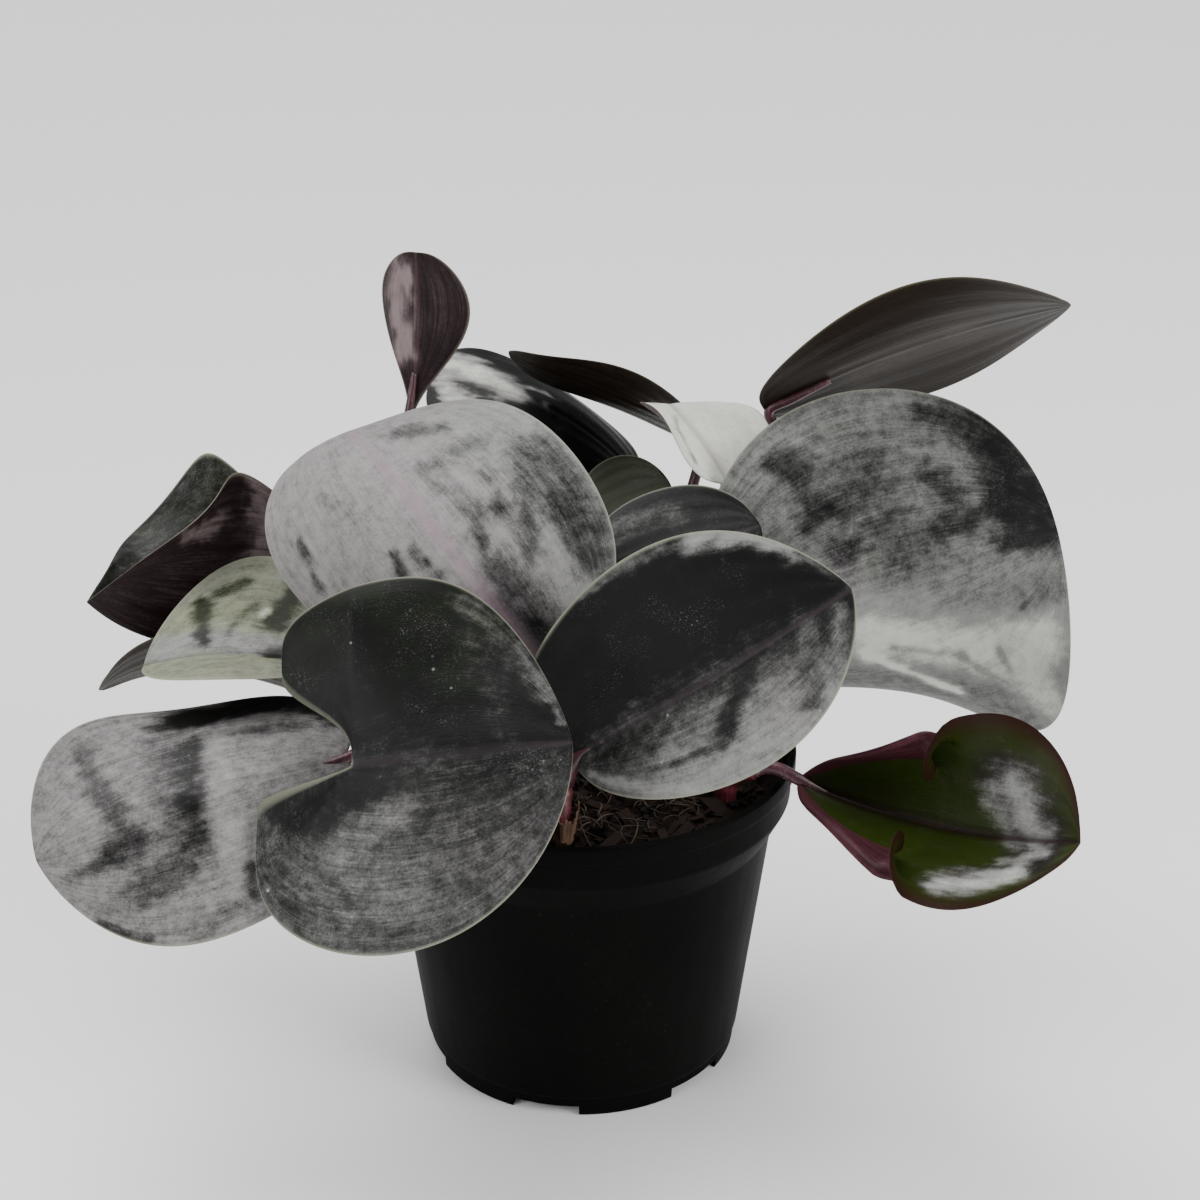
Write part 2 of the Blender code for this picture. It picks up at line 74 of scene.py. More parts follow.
floor_finish, floor_tree, floor_shader = new_material("studio_floor")
floor_shader.inputs["Base Color"].default_value = (0.90, 0.90, 0.90, 1)
floor_shader.inputs["Roughness"].default_value = 0.9
floor_mesh = bpy.data.meshes.new("studio_floor")
floor_mesh.from_pydata([(-4, -4, 0), (4, -4, 0), (4, 4, 0), (-4, 4, 0)], [], [(0, 1, 2, 3)])
floor_mesh.materials.append(floor_finish)
floor = bpy.data.objects.new("studio_floor", floor_mesh)
scene.collection.objects.link(floor)

surround = bpy.data.worlds.new("studio_surround")
surround.use_nodes = True
surround.node_tree.nodes["Background"].inputs["Color"].default_value = (1, 1, 1, 1)
surround.node_tree.nodes["Background"].inputs["Strength"].default_value = 0.35
scene.world = surround


def turned_to(place, aim):
    """The turn that makes a lamp or a camera at a place look at a point."""
    x, y, z = np.array(aim, float) - np.array(place, float)
    return math.atan2(math.hypot(x, y), -z), 0, math.atan2(y, x) - math.pi / 2


def soft_light(name, kind, place, aim, width, energy):
    """A lamp that faces a point: an area light by its width in metres, or a sun by its width as an angle."""
    light = bpy.data.lights.new(name, kind)
    light.energy = energy
    if kind == "SUN":
        light.angle = width
    else:
        light.shape = "SQUARE"
        light.size = width
    lamp = bpy.data.objects.new(name, light)
    scene.collection.objects.link(lamp)
    lamp.location = place
    lamp.rotation_euler = turned_to(place, aim)


soft_light("sky_light", "SUN", (-0.45, 0.55, 1.6), (0, 0, 0.1), math.radians(60), 3.6)
soft_light("left_wall_light", "AREA", (-0.9, -0.7, 0.7), (0, 0, 0.12), 0.7, 8)
soft_light("right_wall_light", "AREA", (0.95, -0.55, 0.7), (0, 0, 0.12), 0.6, 12)

CAMERA_PLACE = (0.0, -0.51698, 0.36452)
CAMERA_HEADING = (0.00952, 0.91510, -0.40312)
lens = bpy.data.cameras.new("photograph_view")
lens.lens = 62.58
lens.sensor_width = 36.0
camera = bpy.data.objects.new("photograph_view", lens)
scene.collection.objects.link(camera)
camera.location = CAMERA_PLACE
camera.rotation_euler = turned_to((0, 0, 0), CAMERA_HEADING)
scene.camera = camera

# The pot is a nursery pot, moulded in one piece of black plastic about 1.3 mm thick. It has a rim bead, a
# collar that steps in to a tapering wall, and a foot with six drain slots. It is matt, dusty and lightly
# scuffed.
RIM_RADIUS, RIM_HEIGHT, BEAD_DEPTH = 60.0, 94.0, 5.0
COLLAR_RADIUS, COLLAR_FOOT, WALL_TOP_RADIUS = 58.8, 73.0, 54.0
FOOT_RADIUS, FOOT_STEP = 44.6, 6.0
POT_WALL, POT_FLOOR = 1.3, 2.0
SLOTS, SLOT_WIDTH, SLOT_HEIGHT, SLOT_FIRST = 6, 19.0, 3.2, math.radians(-43.5)
BLOCK_FACES = [(0, 1, 3, 2), (4, 6, 7, 5), (0, 4, 5, 1), (2, 3, 7, 6), (0, 2, 6, 4), (1, 5, 7, 3)]


def add(tree, kind, inputs=None, **settings):
    """A shader node with its settings, whose inputs are values or the outputs of other nodes."""
    made = tree.nodes.new("ShaderNode" + kind)
    for name, value in settings.items():
        setattr(made, name, value)
    for name, value in (inputs or {}).items():
        if isinstance(value, bpy.types.NodeSocket):
            tree.links.new(value, made.inputs[name])
        else:
            made.inputs[name].default_value = value
    return made


def mixed(tree, share, first, second):
    """The colour between two colours, each of them a value or an output, by a share from 0 to 1."""
    made = add(tree, "Mix", data_type="RGBA")
    for socket, value in zip((made.inputs[0], made.inputs[6], made.inputs[7]), (share, first, second)):
        if isinstance(value, bpy.types.NodeSocket):
            tree.links.new(value, socket)
        else:
            socket.default_value = value if isinstance(value, float) else (*value, 1)
    return made.outputs[2]


def new_piece(name, places, faces, finishes, slot_of_face=None):
    """A mesh object from arrays of places in mm and of faces, shaded smooth, with its finishes."""
    mesh = bpy.data.meshes.new(name)
    mesh.from_pydata(np.asarray(places, float) * MM, [], faces)
    for finish in finishes:
        mesh.materials.append(finish)
    if slot_of_face is not None:
        mesh.polygons.foreach_set("material_index", slot_of_face)
    mesh.shade_smooth()
    piece = bpy.data.objects.new(name, mesh)
    scene.collection.objects.link(piece)
    return piece


def clean(mesh, reach=0.002):
    """Points of a mesh closer than a reach in mm become one, which closes its seams and poles."""
    work = bmesh.new()
    work.from_mesh(mesh)
    bmesh.ops.remove_doubles(work, verts=work.verts, dist=reach * MM)
    bmesh.ops.dissolve_degenerate(work, edges=work.edges, dist=1e-7)
    work.to_mesh(mesh)
    work.free()


def grid_quads(rows, columns):
    """The quads of a grid of points that are numbered row by row, each going along the row and then down."""
    corner = np.arange(rows - 1)[:, None] * columns + np.arange(columns - 1)
    return np.stack([corner, corner + 1, corner + columns + 1, corner + columns], -1).reshape(-1, 4)


def turned(profile, steps):
    """A profile of (radius, height) carried once round Z: x = r cos a and y = r sin a, for the angle a."""
    angle = np.linspace(0, math.tau, steps + 1)
    radius, height = profile[:, 0, None], profile[:, 1, None]
    return np.stack([radius * np.cos(angle), radius * np.sin(angle), height + 0 * angle], -1)


def rounded(corners, size, steps=5):
    """A line of corners in which each inner corner becomes an arc-like curve that starts a size before it."""
    corners = np.array(corners, float)
    before, here, after = corners[:-2], corners[1:-1], corners[2:]
    to_before, to_after = before - here, after - here
    long_before = np.linalg.norm(to_before, axis=1, keepdims=True)
    long_after = np.linalg.norm(to_after, axis=1, keepdims=True)
    start = here + to_before / long_before * np.minimum(size, long_before * 0.45)
    end = here + to_after / long_after * np.minimum(size, long_after * 0.45)
    u = np.linspace(0, 1, steps)[None, :, None]
    arcs = start[:, None] * (1 - u) ** 2 + 2 * here[:, None] * u * (1 - u) + end[:, None] * u * u
    return np.vstack([corners[:1], arcs.reshape(-1, 2), corners[-1:]])


bead = RIM_HEIGHT - BEAD_DEPTH
pot_profile = rounded(
    [
        (0.0, POT_FLOOR),
        (FOOT_RADIUS - POT_WALL - 0.2, POT_FLOOR),
        (FOOT_RADIUS + 1.0 - POT_WALL, FOOT_STEP + 1.0),
        (WALL_TOP_RADIUS - POT_WALL, COLLAR_FOOT),
        (WALL_TOP_RADIUS - POT_WALL + 0.6, COLLAR_FOOT + 2.0),
        (COLLAR_RADIUS - POT_WALL - 0.8, bead - 8.5),
        (COLLAR_RADIUS - POT_WALL, bead - 5.0),
        (COLLAR_RADIUS - POT_WALL, RIM_HEIGHT),
        (RIM_RADIUS, RIM_HEIGHT),
        (RIM_RADIUS, bead),
        (COLLAR_RADIUS, bead),
        (COLLAR_RADIUS, bead - 7.5),
        (WALL_TOP_RADIUS + 0.9, COLLAR_FOOT + 1.0),
        (WALL_TOP_RADIUS, COLLAR_FOOT - 0.4),
        (FOOT_RADIUS + 1.1, FOOT_STEP + 0.4),
        (FOOT_RADIUS + 0.3, FOOT_STEP),
        (FOOT_RADIUS, 0.0),
        (0.0, 0.0),
    ],
    0.8,
)
POT_TURN = 240
pot_places = turned(pot_profile, POT_TURN)

pot_finish, tree, shader = new_material("black_moulded_plastic")
where = add(tree, "TexCoord").outputs["Object"]
cloud = add(tree, "TexNoise", {"Vector": where, "Scale": 28.0, "Detail": 5.0, "Roughness": 0.6})
flow_map = add(tree, "Mapping", {"Vector": where, "Scale": (260.0, 260.0, 14.0)})
flow = add(tree, "TexNoise", {"Vector": flow_map.outputs["Vector"], "Scale": 1.0, "Detail": 3.0})
grain = add(tree, "TexNoise", {"Vector": where, "Scale": 1500.0, "Detail": 2.0})
dust = add(tree, "TexNoise", {"Vector": where, "Scale": 900.0, "Detail": 4.0, "Roughness": 0.7})
dust_specks = add(tree, "MapRange", {"Value": dust.outputs["Fac"], "From Min": 0.62, "From Max": 0.74})
dust_patches = add(tree, "MapRange", {"Value": cloud.outputs["Fac"], "From Min": 0.40, "From Max": 0.75})
dusty = add(
    tree, "Math", {0: dust_specks.outputs["Result"], 1: dust_patches.outputs["Result"]}, operation="MULTIPLY"
)
black = mixed(tree, cloud.outputs["Fac"], (0.0014, 0.0015, 0.0014), (0.0046, 0.0048, 0.0043))
dusted = mixed(tree, dusty.outputs[0], black, (0.030, 0.028, 0.024))
tree.links.new(dusted, shader.inputs["Base Color"])
matt = add(tree, "MapRange", {"Value": flow.outputs["Fac"], "To Min": 0.40, "To Max": 0.58})
tree.links.new(matt.outputs["Result"], shader.inputs["Roughness"])
shader.inputs["Specular IOR Level"].default_value = 0.02
bump = add(tree, "Bump", {"Strength": 0.25, "Distance": 0.0002, "Height": grain.outputs["Fac"]})
tree.links.new(bump.outputs["Normal"], shader.inputs["Normal"])

pot_faces = grid_quads(len(pot_profile), POT_TURN + 1)
pot = new_piece("pot_turned", pot_places.reshape(-1, 3), pot_faces, [pot_finish])
clean(pot.data)
for number in range(SLOTS):
    angle = SLOT_FIRST + number * math.tau / SLOTS
    outwards = np.array([math.cos(angle), math.sin(angle), 0])
    edgewise = np.array([-math.sin(angle), math.cos(angle), 0])
    corners = [
        outwards * (FOOT_RADIUS + depth) + edgewise * SLOT_WIDTH / 2 * side + np.array([0, 0, height])
        for depth in (-5, 5) for side in (-1, 1) for height in (-SLOT_HEIGHT, SLOT_HEIGHT)
    ]
    cutter = new_piece(f"slot_cutter_{number}", corners, BLOCK_FACES, [pot_finish])
    cut = pot.modifiers.new("drain slot", "BOOLEAN")
    cut.operation = "DIFFERENCE"
    cut.object = cutter
cut_mesh = bpy.data.meshes.new_from_object(pot.evaluated_get(bpy.context.evaluated_depsgraph_get()))
pot.modifiers.clear()
pot.data = cut_mesh
pot.data.set_sharp_from_angle(angle=math.radians(40))
for number in range(SLOTS):
    bpy.data.objects.remove(bpy.data.objects[f"slot_cutter_{number}"])
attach(pot, "root")
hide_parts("pot")

# The potting mix is coarse bark and coir, pressed in to just under the rim. Its surface is crumbly, and
# darker where it is damp between the crumbs. Its colours are all darkened further as painted shade, for the
# shadow that the leaves cast on it. It fills the pot as one plug.
SOIL_EDGE, SOIL_MOUND, SOIL_RADIUS = 87.0, 2.0, COLLAR_RADIUS - POT_WALL - 0.3


def lumps(x, y, cell, seed):
    """Smooth random heights from -1 to 1: random values on a grid of square cells, eased in between."""
    heights = np.random.default_rng(seed).uniform(-1, 1, (64, 64))
    column, row = np.floor(x / cell).astype(int), np.floor(y / cell).astype(int)
    u, v = x / cell - column, y / cell - row
    u, v = u * u * (3 - 2 * u), v * v * (3 - 2 * v)
    near = heights[column % 64, row % 64] * (1 - u) + heights[(column + 1) % 64, row % 64] * u
    far = heights[column % 64, (row + 1) % 64] * (1 - u) + heights[(column + 1) % 64, (row + 1) % 64] * u
    return near * (1 - v) + far * v


def soil_height(x, y):
    """A low mound, three crossing waves and four sizes of crumb, all of which fade at the pot's wall."""
    inward = 1 - (np.hypot(x, y) / SOIL_RADIUS) ** 6
    waves = np.sin(0.33 * x + 1.1) + np.sin(0.29 * y + 0.21 * x + 4.0) + np.sin(0.37 * x - 0.31 * y + 2.2)
    crumbs = lumps(x, y, 7.0, 1) * 0.9 + lumps(x, y, 3.1, 2) * 0.7
    crumbs = crumbs + lumps(x, y, 1.4, 3) * 0.45 + lumps(x, y, 0.7, 4) * 0.2
    mound = SOIL_EDGE + SOIL_MOUND * (1 - (np.hypot(x, y) / SOIL_RADIUS) ** 2)
    return mound + (waves * 0.4 + crumbs) * np.maximum(inward, 0.15)


soil_finish, tree, shader = new_material("damp_bark_and_coir_in_painted_shade")
where = add(tree, "TexCoord").outputs["Object"]
patches = add(tree, "TexNoise", {"Vector": where, "Scale": 120.0, "Detail": 4.0, "Roughness": 0.65})
fine = add(tree, "TexNoise", {"Vector": where, "Scale": 1400.0, "Detail": 4.0, "Roughness": 0.7})
damp = add(tree, "MapRange", {"Value": patches.outputs["Fac"], "From Min": 0.35, "From Max": 0.66})
# The dark colours of the mix are partly its own and partly painted shade from the leaves above.
ground = mixed(tree, damp.outputs["Result"], (0.0018, 0.0009, 0.0007), (0.011, 0.0052, 0.0030))
flecks = add(tree, "MapRange", {"Value": fine.outputs["Fac"], "From Min": 0.56, "From Max": 0.72})
ground = mixed(tree, flecks.outputs["Result"], ground, (0.036, 0.018, 0.010))
tree.links.new(ground, shader.inputs["Base Color"])
shader.inputs["Roughness"].default_value = 0.92
shader.inputs["Specular IOR Level"].default_value = 0.15
bump = add(tree, "Bump", {"Strength": 0.8, "Distance": 0.0006, "Height": fine.outputs["Fac"]})
tree.links.new(bump.outputs["Normal"], shader.inputs["Normal"])

SOIL_ROWS, SOIL_TURN = 135, 330
ring = np.linspace(0, 1, SOIL_ROWS)[:, None] * SOIL_RADIUS
angle = np.linspace(0, math.tau, SOIL_TURN + 1)[None]
soil_x, soil_y = ring * np.cos(angle), ring * np.sin(angle)
soil_top = np.stack([soil_x, soil_y, soil_height(soil_x, soil_y)], -1)
soil_profile = np.array(
    [(SOIL_RADIUS, 84.0), (57.2, 80.4), (53.0, 75.0), (52.4, 73.0), (44.0, 7.0), (42.8, 2.3), (0.0, 2.3)]
)
soil_places = np.vstack([soil_top, turned(soil_profile, SOIL_TURN)])
soil_faces = grid_quads(len(soil_places), SOIL_TURN + 1)[:, ::-1]
soil = new_piece("potting_mix", soil_places.reshape(-1, 3), soil_faces, [soil_finish])
clean(soil.data)
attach(soil, "root")
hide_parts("soil")

# Bark chips lie loose on the mix, each turned its own way and pressed a little into it. They are flat
# splinters and crumbs of coarse wood bark, from near-black to tan.
CHIPS = 1500
chance = np.random.default_rng(5)
chip_finish, tree, shader = new_material("bark_chip")
where = add(tree, "TexCoord").outputs["Object"]
shade = add(tree, "Attribute", attribute_name="shade", attribute_type="GEOMETRY").outputs["Fac"]
grain_map = add(tree, "Mapping", {"Vector": where, "Scale": (900.0, 900.0, 300.0)})
grain = add(tree, "TexNoise", {"Vector": grain_map.outputs["Vector"], "Scale": 1.0, "Detail": 4.0})
# The bark colours are darkened as painted shade from the leaves above, over each chip's own tone.
bark = mixed(tree, shade, (0.0026, 0.0012, 0.0009), (0.038, 0.0165, 0.0080))
bark = mixed(tree, grain.outputs["Fac"], (0.0023, 0.0011, 0.0008), bark)
tree.links.new(bark, shader.inputs["Base Color"])
shader.inputs["Roughness"].default_value = 0.85
shader.inputs["Specular IOR Level"].default_value = 0.20
bump = add(tree, "Bump", {"Strength": 0.6, "Distance": 0.0003, "Height": grain.outputs["Fac"]})
tree.links.new(bump.outputs["Normal"], shader.inputs["Normal"])


def strewn(count, inset):
    """Random places on the mix, evenly spread over its disc up to an inset from the wall."""
    radius = (SOIL_RADIUS - inset) * np.sqrt(chance.uniform(0, 1, count))
    angle = chance.uniform(0, math.tau, count)
    x, y = radius * np.cos(angle), radius * np.sin(angle)
    return np.stack([x, y, soil_height(x, y)], -1)


def add_shade(piece, shades):
    """A value for each point of a piece, from 0 for dark to 1 for light, which its finish reads."""
    values = piece.data.attributes.new("shade", "FLOAT", "POINT").data
    values.foreach_set("value", np.asarray(shades, np.float32))


size = chance.lognormal(0, 0.55, CHIPS)[:, None]
size = np.concatenate([size * 1.5, size * 0.75, size * 0.4], 1).clip(0.2, 4.5)
cube = np.array([(x, y, z) for x in (-1, 1) for y in (-1, 1) for z in (-1, 1)], float)
chip_corners = cube * chance.uniform(0.45, 1.0, (CHIPS, 8, 3)) * size[:, None]
turn, tilt = chance.uniform(0, math.tau, CHIPS), chance.normal(0, 0.45, CHIPS)
run = np.stack([np.cos(turn) * np.cos(tilt), np.sin(turn) * np.cos(tilt), np.sin(tilt)], -1)
over = np.stack([-np.sin(turn), np.cos(turn), 0 * turn], -1)
out = np.cross(run, over)
chip_places = np.einsum("nki,nij->nkj", chip_corners, np.stack([run, over, out], 1))
chip_places += (strewn(CHIPS, 4.5) + np.array([0, 0, 0.25]))[:, None]
chip_faces = (np.arange(CHIPS)[:, None, None] * 8 + np.array(BLOCK_FACES)).reshape(-1, 4)
chips = new_piece("bark_chips", chip_places.reshape(-1, 3), chip_faces, [chip_finish])
add_shade(chips, np.repeat(chance.beta(1.2, 2.6, CHIPS), 8))
chips.data.set_sharp_from_angle(angle=math.radians(35))
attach(chips, "root")

# Coir fibres lie over and through the mix, where they were stirred in. They are hair-fine curved strands of
# coconut husk, from rust brown to straw.
FIBRES, FIBRE_POINTS, FIBRE_SIDES = 620, 7, 5


def swept(path, radius, sides, reference):
    """Round rods along paths: each point plus its radius times a circle that is square to the path.

    A path has points (..., n, 3), and the circle starts from a reference direction that no path takes.
    """
    heading = np.gradient(path, axis=-2)
    heading /= np.linalg.norm(heading, axis=-1, keepdims=True)
    side = reference - heading * (heading * reference).sum(-1, keepdims=True)
    side /= np.linalg.norm(side, axis=-1, keepdims=True)
    other = np.cross(heading, side)
    turn = np.linspace(0, math.tau, sides, endpoint=False)
    circle = side[..., None, :] * np.cos(turn)[:, None] + other[..., None, :] * np.sin(turn)[:, None]
    return path[..., None, :] + circle * np.asarray(radius)[..., None, None]


def rod_faces(rings, sides):
    """The quads round a rod, with the last point of each ring joined to its first."""
    ring, corner = np.arange(rings - 1)[:, None] * sides, np.arange(sides)
    following = (corner + 1) % sides
    quads = np.stack([ring + corner, ring + following, ring + sides + following, ring + sides + corner], -1)
    return quads.reshape(-1, 4)


u = np.linspace(-1, 1, FIBRE_POINTS)
half = chance.lognormal(1.35, 0.5, FIBRES).clip(1.5, 12)[:, None]
turn, bend = chance.uniform(0, math.tau, FIBRES)[:, None], chance.normal(0, 0.5, FIBRES)[:, None]
heading = turn + bend * u
fibre_path = np.stack([np.cos(heading) * u * half, np.sin(heading) * u * half, 0 * u * half], -1)
fibre_path += strewn(FIBRES, 12)[:, None]
reach = np.hypot(fibre_path[..., 0], fibre_path[..., 1])
fibre_path[..., :2] *= np.minimum(1, (SOIL_RADIUS - 1.0) / reach)[..., None]
lift = chance.uniform(0.1, 0.9, FIBRES)[:, None] + chance.uniform(0, 1.6, FIBRES)[:, None] * (1 - u * u)
fibre_path[..., 2] = soil_height(fibre_path[..., 0], fibre_path[..., 1]) * 0.35
fibre_path[..., 2] += fibre_path[..., 2].mean(1, keepdims=True) / 0.35 * 0.65 + lift
fibre_radius = chance.uniform(0.09, 0.24, FIBRES)[:, None] * np.sqrt(1.02 - u * u)
fibre_places = swept(fibre_path, fibre_radius, FIBRE_SIDES, np.array([0, 0, 1.0]))
first_of_each = np.arange(FIBRES)[:, None, None] * FIBRE_POINTS * FIBRE_SIDES
fibre_faces = (first_of_each + rod_faces(FIBRE_POINTS, FIBRE_SIDES)).reshape(-1, 4)
around = np.arange(FIBRE_SIDES)
caps = np.stack([around[::-1], around + (FIBRE_POINTS - 1) * FIBRE_SIDES])
cap_faces = (first_of_each + caps).reshape(-1, FIBRE_SIDES)
fibre_finish, tree, shader = new_material("coir_fibre")
shade = add(tree, "Attribute", attribute_name="shade", attribute_type="GEOMETRY").outputs["Fac"]
where = add(tree, "TexCoord").outputs["Object"]
mottle = add(tree, "TexNoise", {"Vector": where, "Scale": 700.0, "Detail": 3.0})
# The fibre colours are darkened as painted shade from the leaves above, over each strand's own tone.
straw = mixed(tree, shade, (0.014, 0.0056, 0.0030), (0.13, 0.070, 0.034))
straw = mixed(tree, mottle.outputs["Fac"], straw, (0.026, 0.012, 0.006))
tree.links.new(straw, shader.inputs["Base Color"])
shader.inputs["Roughness"].default_value = 0.7
fibres = new_piece(
    "coir_fibres", fibre_places.reshape(-1, 3), fibre_faces.tolist() + cap_faces.tolist(), [fibre_finish]
)
add_shade(fibres, np.repeat(chance.beta(1.3, 2.4, FIBRES), FIBRE_POINTS * FIBRE_SIDES))
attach(fibres, "root")

# The shoots are seven short stems, which stand in the mix and carry the leaves. They are round, juicy and
# burgundy, with a swollen joint where a leaf stalk clasps them, and paler dry rings below.
STEMS = {
    "stem_front": dict(foot=(-5, -44), top=(-6, -34, 108), way=(-0.2, 0.5, 0.8), radius=2.6),
    "stem_left": dict(foot=(-27, -24), top=(-47, -33, 111), way=(-0.9, -0.3, 0.4), radius=2.6),
    "stem_back_left": dict(foot=(-27, 14), top=(-42, 26, 120), way=(-0.5, 0.4, 0.8), radius=2.6),
    "stem_middle": dict(foot=(2, -8), top=(2, -4, 126), way=(0.1, 0.2, 1.0), radius=2.4),
    "stem_back": dict(foot=(14, 22), top=(19, 33, 124), way=(0.2, 0.4, 0.9), radius=2.8),
    "stem_right": dict(foot=(31, 0), top=(36, 7, 108), way=(0.4, 0.4, 0.8), radius=2.6),
    "stem_low_right": dict(foot=(39, -24), top=(47, -26, 99), way=(0.9, -0.1, 0.3), radius=2.8),
}
STEM_FOOT, STEM_SIDES = 76.0, 28


def unit(vector):
    """The vector divided by its length."""
    vector = np.asarray(vector, float)
    return vector / np.linalg.norm(vector)


def read_at(places, known, rows):
    """Rows that are given at known places, read between them at other places."""
    return np.stack([np.interp(places, known, rows[:, i]) for i in range(rows.shape[1])], -1)


def lengths_along(points):
    """How far along a line each of its points lies: the sum of the steps before it."""
    return np.concatenate([[0], np.cumsum(np.linalg.norm(np.diff(points, axis=0), axis=1))])


def evenly(points, spacing):
    """The same line with its points evenly apart, at about the spacing."""
    lengths = lengths_along(points)
    count = max(3, round(lengths[-1] / spacing)) + 1
    return read_at(np.linspace(0, lengths[-1], count), lengths, points)


def stem_route(stem, steps=60):
    """A shoot: straight up through the mix, then one cubic curve from the surface to its top."""
    foot = np.array([*stem["foot"], SOIL_EDGE + SOIL_MOUND + 1.0])
    top = np.array(stem["top"], float)
    length = np.linalg.norm(top - foot)
    first = foot + np.array([0, 0, 0.5 * length])
    second = top - unit(stem["way"]) * 0.4 * length
    u = np.linspace(0, 1, steps)[:, None]
    bend = foot * (1 - u) ** 3 + first * 3 * u * (1 - u) ** 2 + second * 3 * u * u * (1 - u) + top * u**3
    return np.vstack([[*stem["foot"], STEM_FOOT], bend])


def sideways_of(path):
    """A level direction square to the way that a path goes over all, to turn its circles from."""
    across = np.cross(path[-1] - path[0], (0, 0, 1.0))
    return unit(across) if np.linalg.norm(across) > 1e-6 else np.array([1.0, 0, 0])


def closed_rod(path, radius, sides):
    """A round rod along one path, with a middle point at each end that closes it."""
    rings = swept(path, radius, sides, sideways_of(path)).reshape(-1, 3)
    places = np.vstack([rings, path[:1], path[-1:]])
    count = len(path) * sides
    around = np.arange(sides)
    following = (around + 1) % sides
    start = np.stack([following, around, np.full(sides, count)], 1)
    end = np.stack([around, following, np.full(sides, count + 1)], 1)
    end[:, :2] += (len(path) - 1) * sides
    return places, rod_faces(len(path), sides).tolist() + start.tolist() + end.tolist()


def stem_finish(name, young, old, mottle):
    """Waxy skin with fine lengthwise streaks, mottled from a young colour to an old one."""
    finish, tree, shader = new_material(name)
    where = add(tree, "TexCoord").outputs["Object"]
    cloud = add(tree, "TexNoise", {"Vector": where, "Scale": 160.0, "Detail": 5.0, "Roughness": 0.6})
    long_map = add(tree, "Mapping", {"Vector": where, "Scale": (1500.0, 1500.0, 120.0)})
    streaks = add(tree, "TexNoise", {"Vector": long_map.outputs["Vector"], "Scale": 1.0, "Detail": 3.0})
    share = add(tree, "MapRange", {"Value": cloud.outputs["Fac"], "From Min": 0.38, "From Max": 0.64})
    skin = mixed(tree, share.outputs["Result"], young, old)
    flecks = add(tree, "MapRange", {"Value": streaks.outputs["Fac"], "From Min": 0.52, "From Max": 0.75})
    skin = mixed(tree, flecks.outputs["Result"], skin, mottle)
    tree.links.new(skin, shader.inputs["Base Color"])
    shader.inputs["Roughness"].default_value = 0.38
    shader.inputs["Subsurface Weight"].default_value = 0.08
    shader.inputs["Subsurface Radius"].default_value = (0.002, 0.0006, 0.0005)
    bump = add(tree, "Bump", {"Strength": 0.35, "Distance": 0.0002, "Height": streaks.outputs["Fac"]})
    tree.links.new(bump.outputs["Normal"], shader.inputs["Normal"])
    return finish


stem_skin = stem_finish(
    "burgundy_stem", young=(0.170, 0.026, 0.036), old=(0.060, 0.016, 0.020), mottle=(0.24, 0.075, 0.065),
)
stalk_skin = stem_finish(
    "plum_leaf_stalk", young=(0.085, 0.022, 0.034), old=(0.034, 0.016, 0.020), mottle=(0.16, 0.065, 0.075),
)
for name, stem in STEMS.items():
    route = evenly(stem_route(stem), 0.6)
    lengths = lengths_along(route)
    joint = lengths[-1] - np.array([1.5, 11.0, 19.0])
    swelling = np.exp(-(((lengths[:, None] - joint) / 1.3) ** 2)).sum(1)
    base = np.exp(-(((lengths - 13.0) / 3.0) ** 2))
    radius = stem["radius"] * (0.93 + 0.13 * swelling + 0.10 * base)
    radius *= np.sqrt(np.clip((lengths[-1] - lengths) / 1.2, 0.05, 1))
    shoot = new_piece(name + "_skin", *closed_rod(route, radius, STEM_SIDES), [stem_skin])
    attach(shoot, "root")
    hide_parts(name)

# A dry, papery sheath is left round the foot of the front shoot: an open tube, split at the back, that
# flares and ends in a torn edge.
SHEATH_HEIGHT, SHEATH_FLARE, SHEATH_THICKNESS = 10.0, 1.5, 0.25
SHEATH_ROWS, SHEATH_COLUMNS = 24, 60
sheath_finish, tree, shader = new_material("dry_papery_sheath")
where = add(tree, "TexCoord").outputs["Object"]
long_map = add(tree, "Mapping", {"Vector": where, "Scale": (2200.0, 2200.0, 90.0)})
veins = add(tree, "TexNoise", {"Vector": long_map.outputs["Vector"], "Scale": 1.0, "Detail": 3.0})
stains = add(tree, "TexNoise", {"Vector": where, "Scale": 260.0, "Detail": 4.0})
papery = mixed(tree, veins.outputs["Fac"], (0.070, 0.036, 0.022), (0.330, 0.205, 0.120))
papery = mixed(tree, stains.outputs["Fac"], papery, (0.085, 0.040, 0.024))
tree.links.new(papery, shader.inputs["Base Color"])
shader.inputs["Roughness"].default_value = 0.8
bump = add(tree, "Bump", {"Strength": 0.5, "Distance": 0.0002, "Height": veins.outputs["Fac"]})
tree.links.new(bump.outputs["Normal"], shader.inputs["Normal"])


def sheath_points(foot, radius):
    """A flared cone over 250 degrees, split at the back, whose upper edge is torn.

    Its radius grows by the flare times the 1.6th power of the place from foot to edge, and its wall is
    fluted by a sine of the angle.
    """
    up = np.linspace(0, 1, SHEATH_ROWS)[:, None]
    angle = np.linspace(math.radians(-215), math.radians(35), SHEATH_COLUMNS)[None]
    torn = 0.82 + 0.10 * np.sin(2.3 * angle + 1.0) + 0.06 * np.sin(9 * angle) + 0.04 * np.sin(23 * angle)
    wall = radius + SHEATH_FLARE * up**1.6 + 0.15 * np.sin(7 * angle) * up
    height = STEM_FOOT + 9.0 + (SHEATH_HEIGHT + 4.0) * up * torn
    return np.stack([foot[0] + wall * np.cos(angle), foot[1] + wall * np.sin(angle), height], -1)


front_shoot = STEMS["stem_front"]
sheath_places = sheath_points(front_shoot["foot"], front_shoot["radius"] + 0.5)
sheath_faces = grid_quads(SHEATH_ROWS, SHEATH_COLUMNS)
sheath = new_piece("papery_sheath", sheath_places.reshape(-1, 3), sheath_faces, [sheath_finish])
thickened = sheath.modifiers.new("paper thickness", "SOLIDIFY")
thickened.thickness = SHEATH_THICKNESS * MM
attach(sheath, "root")

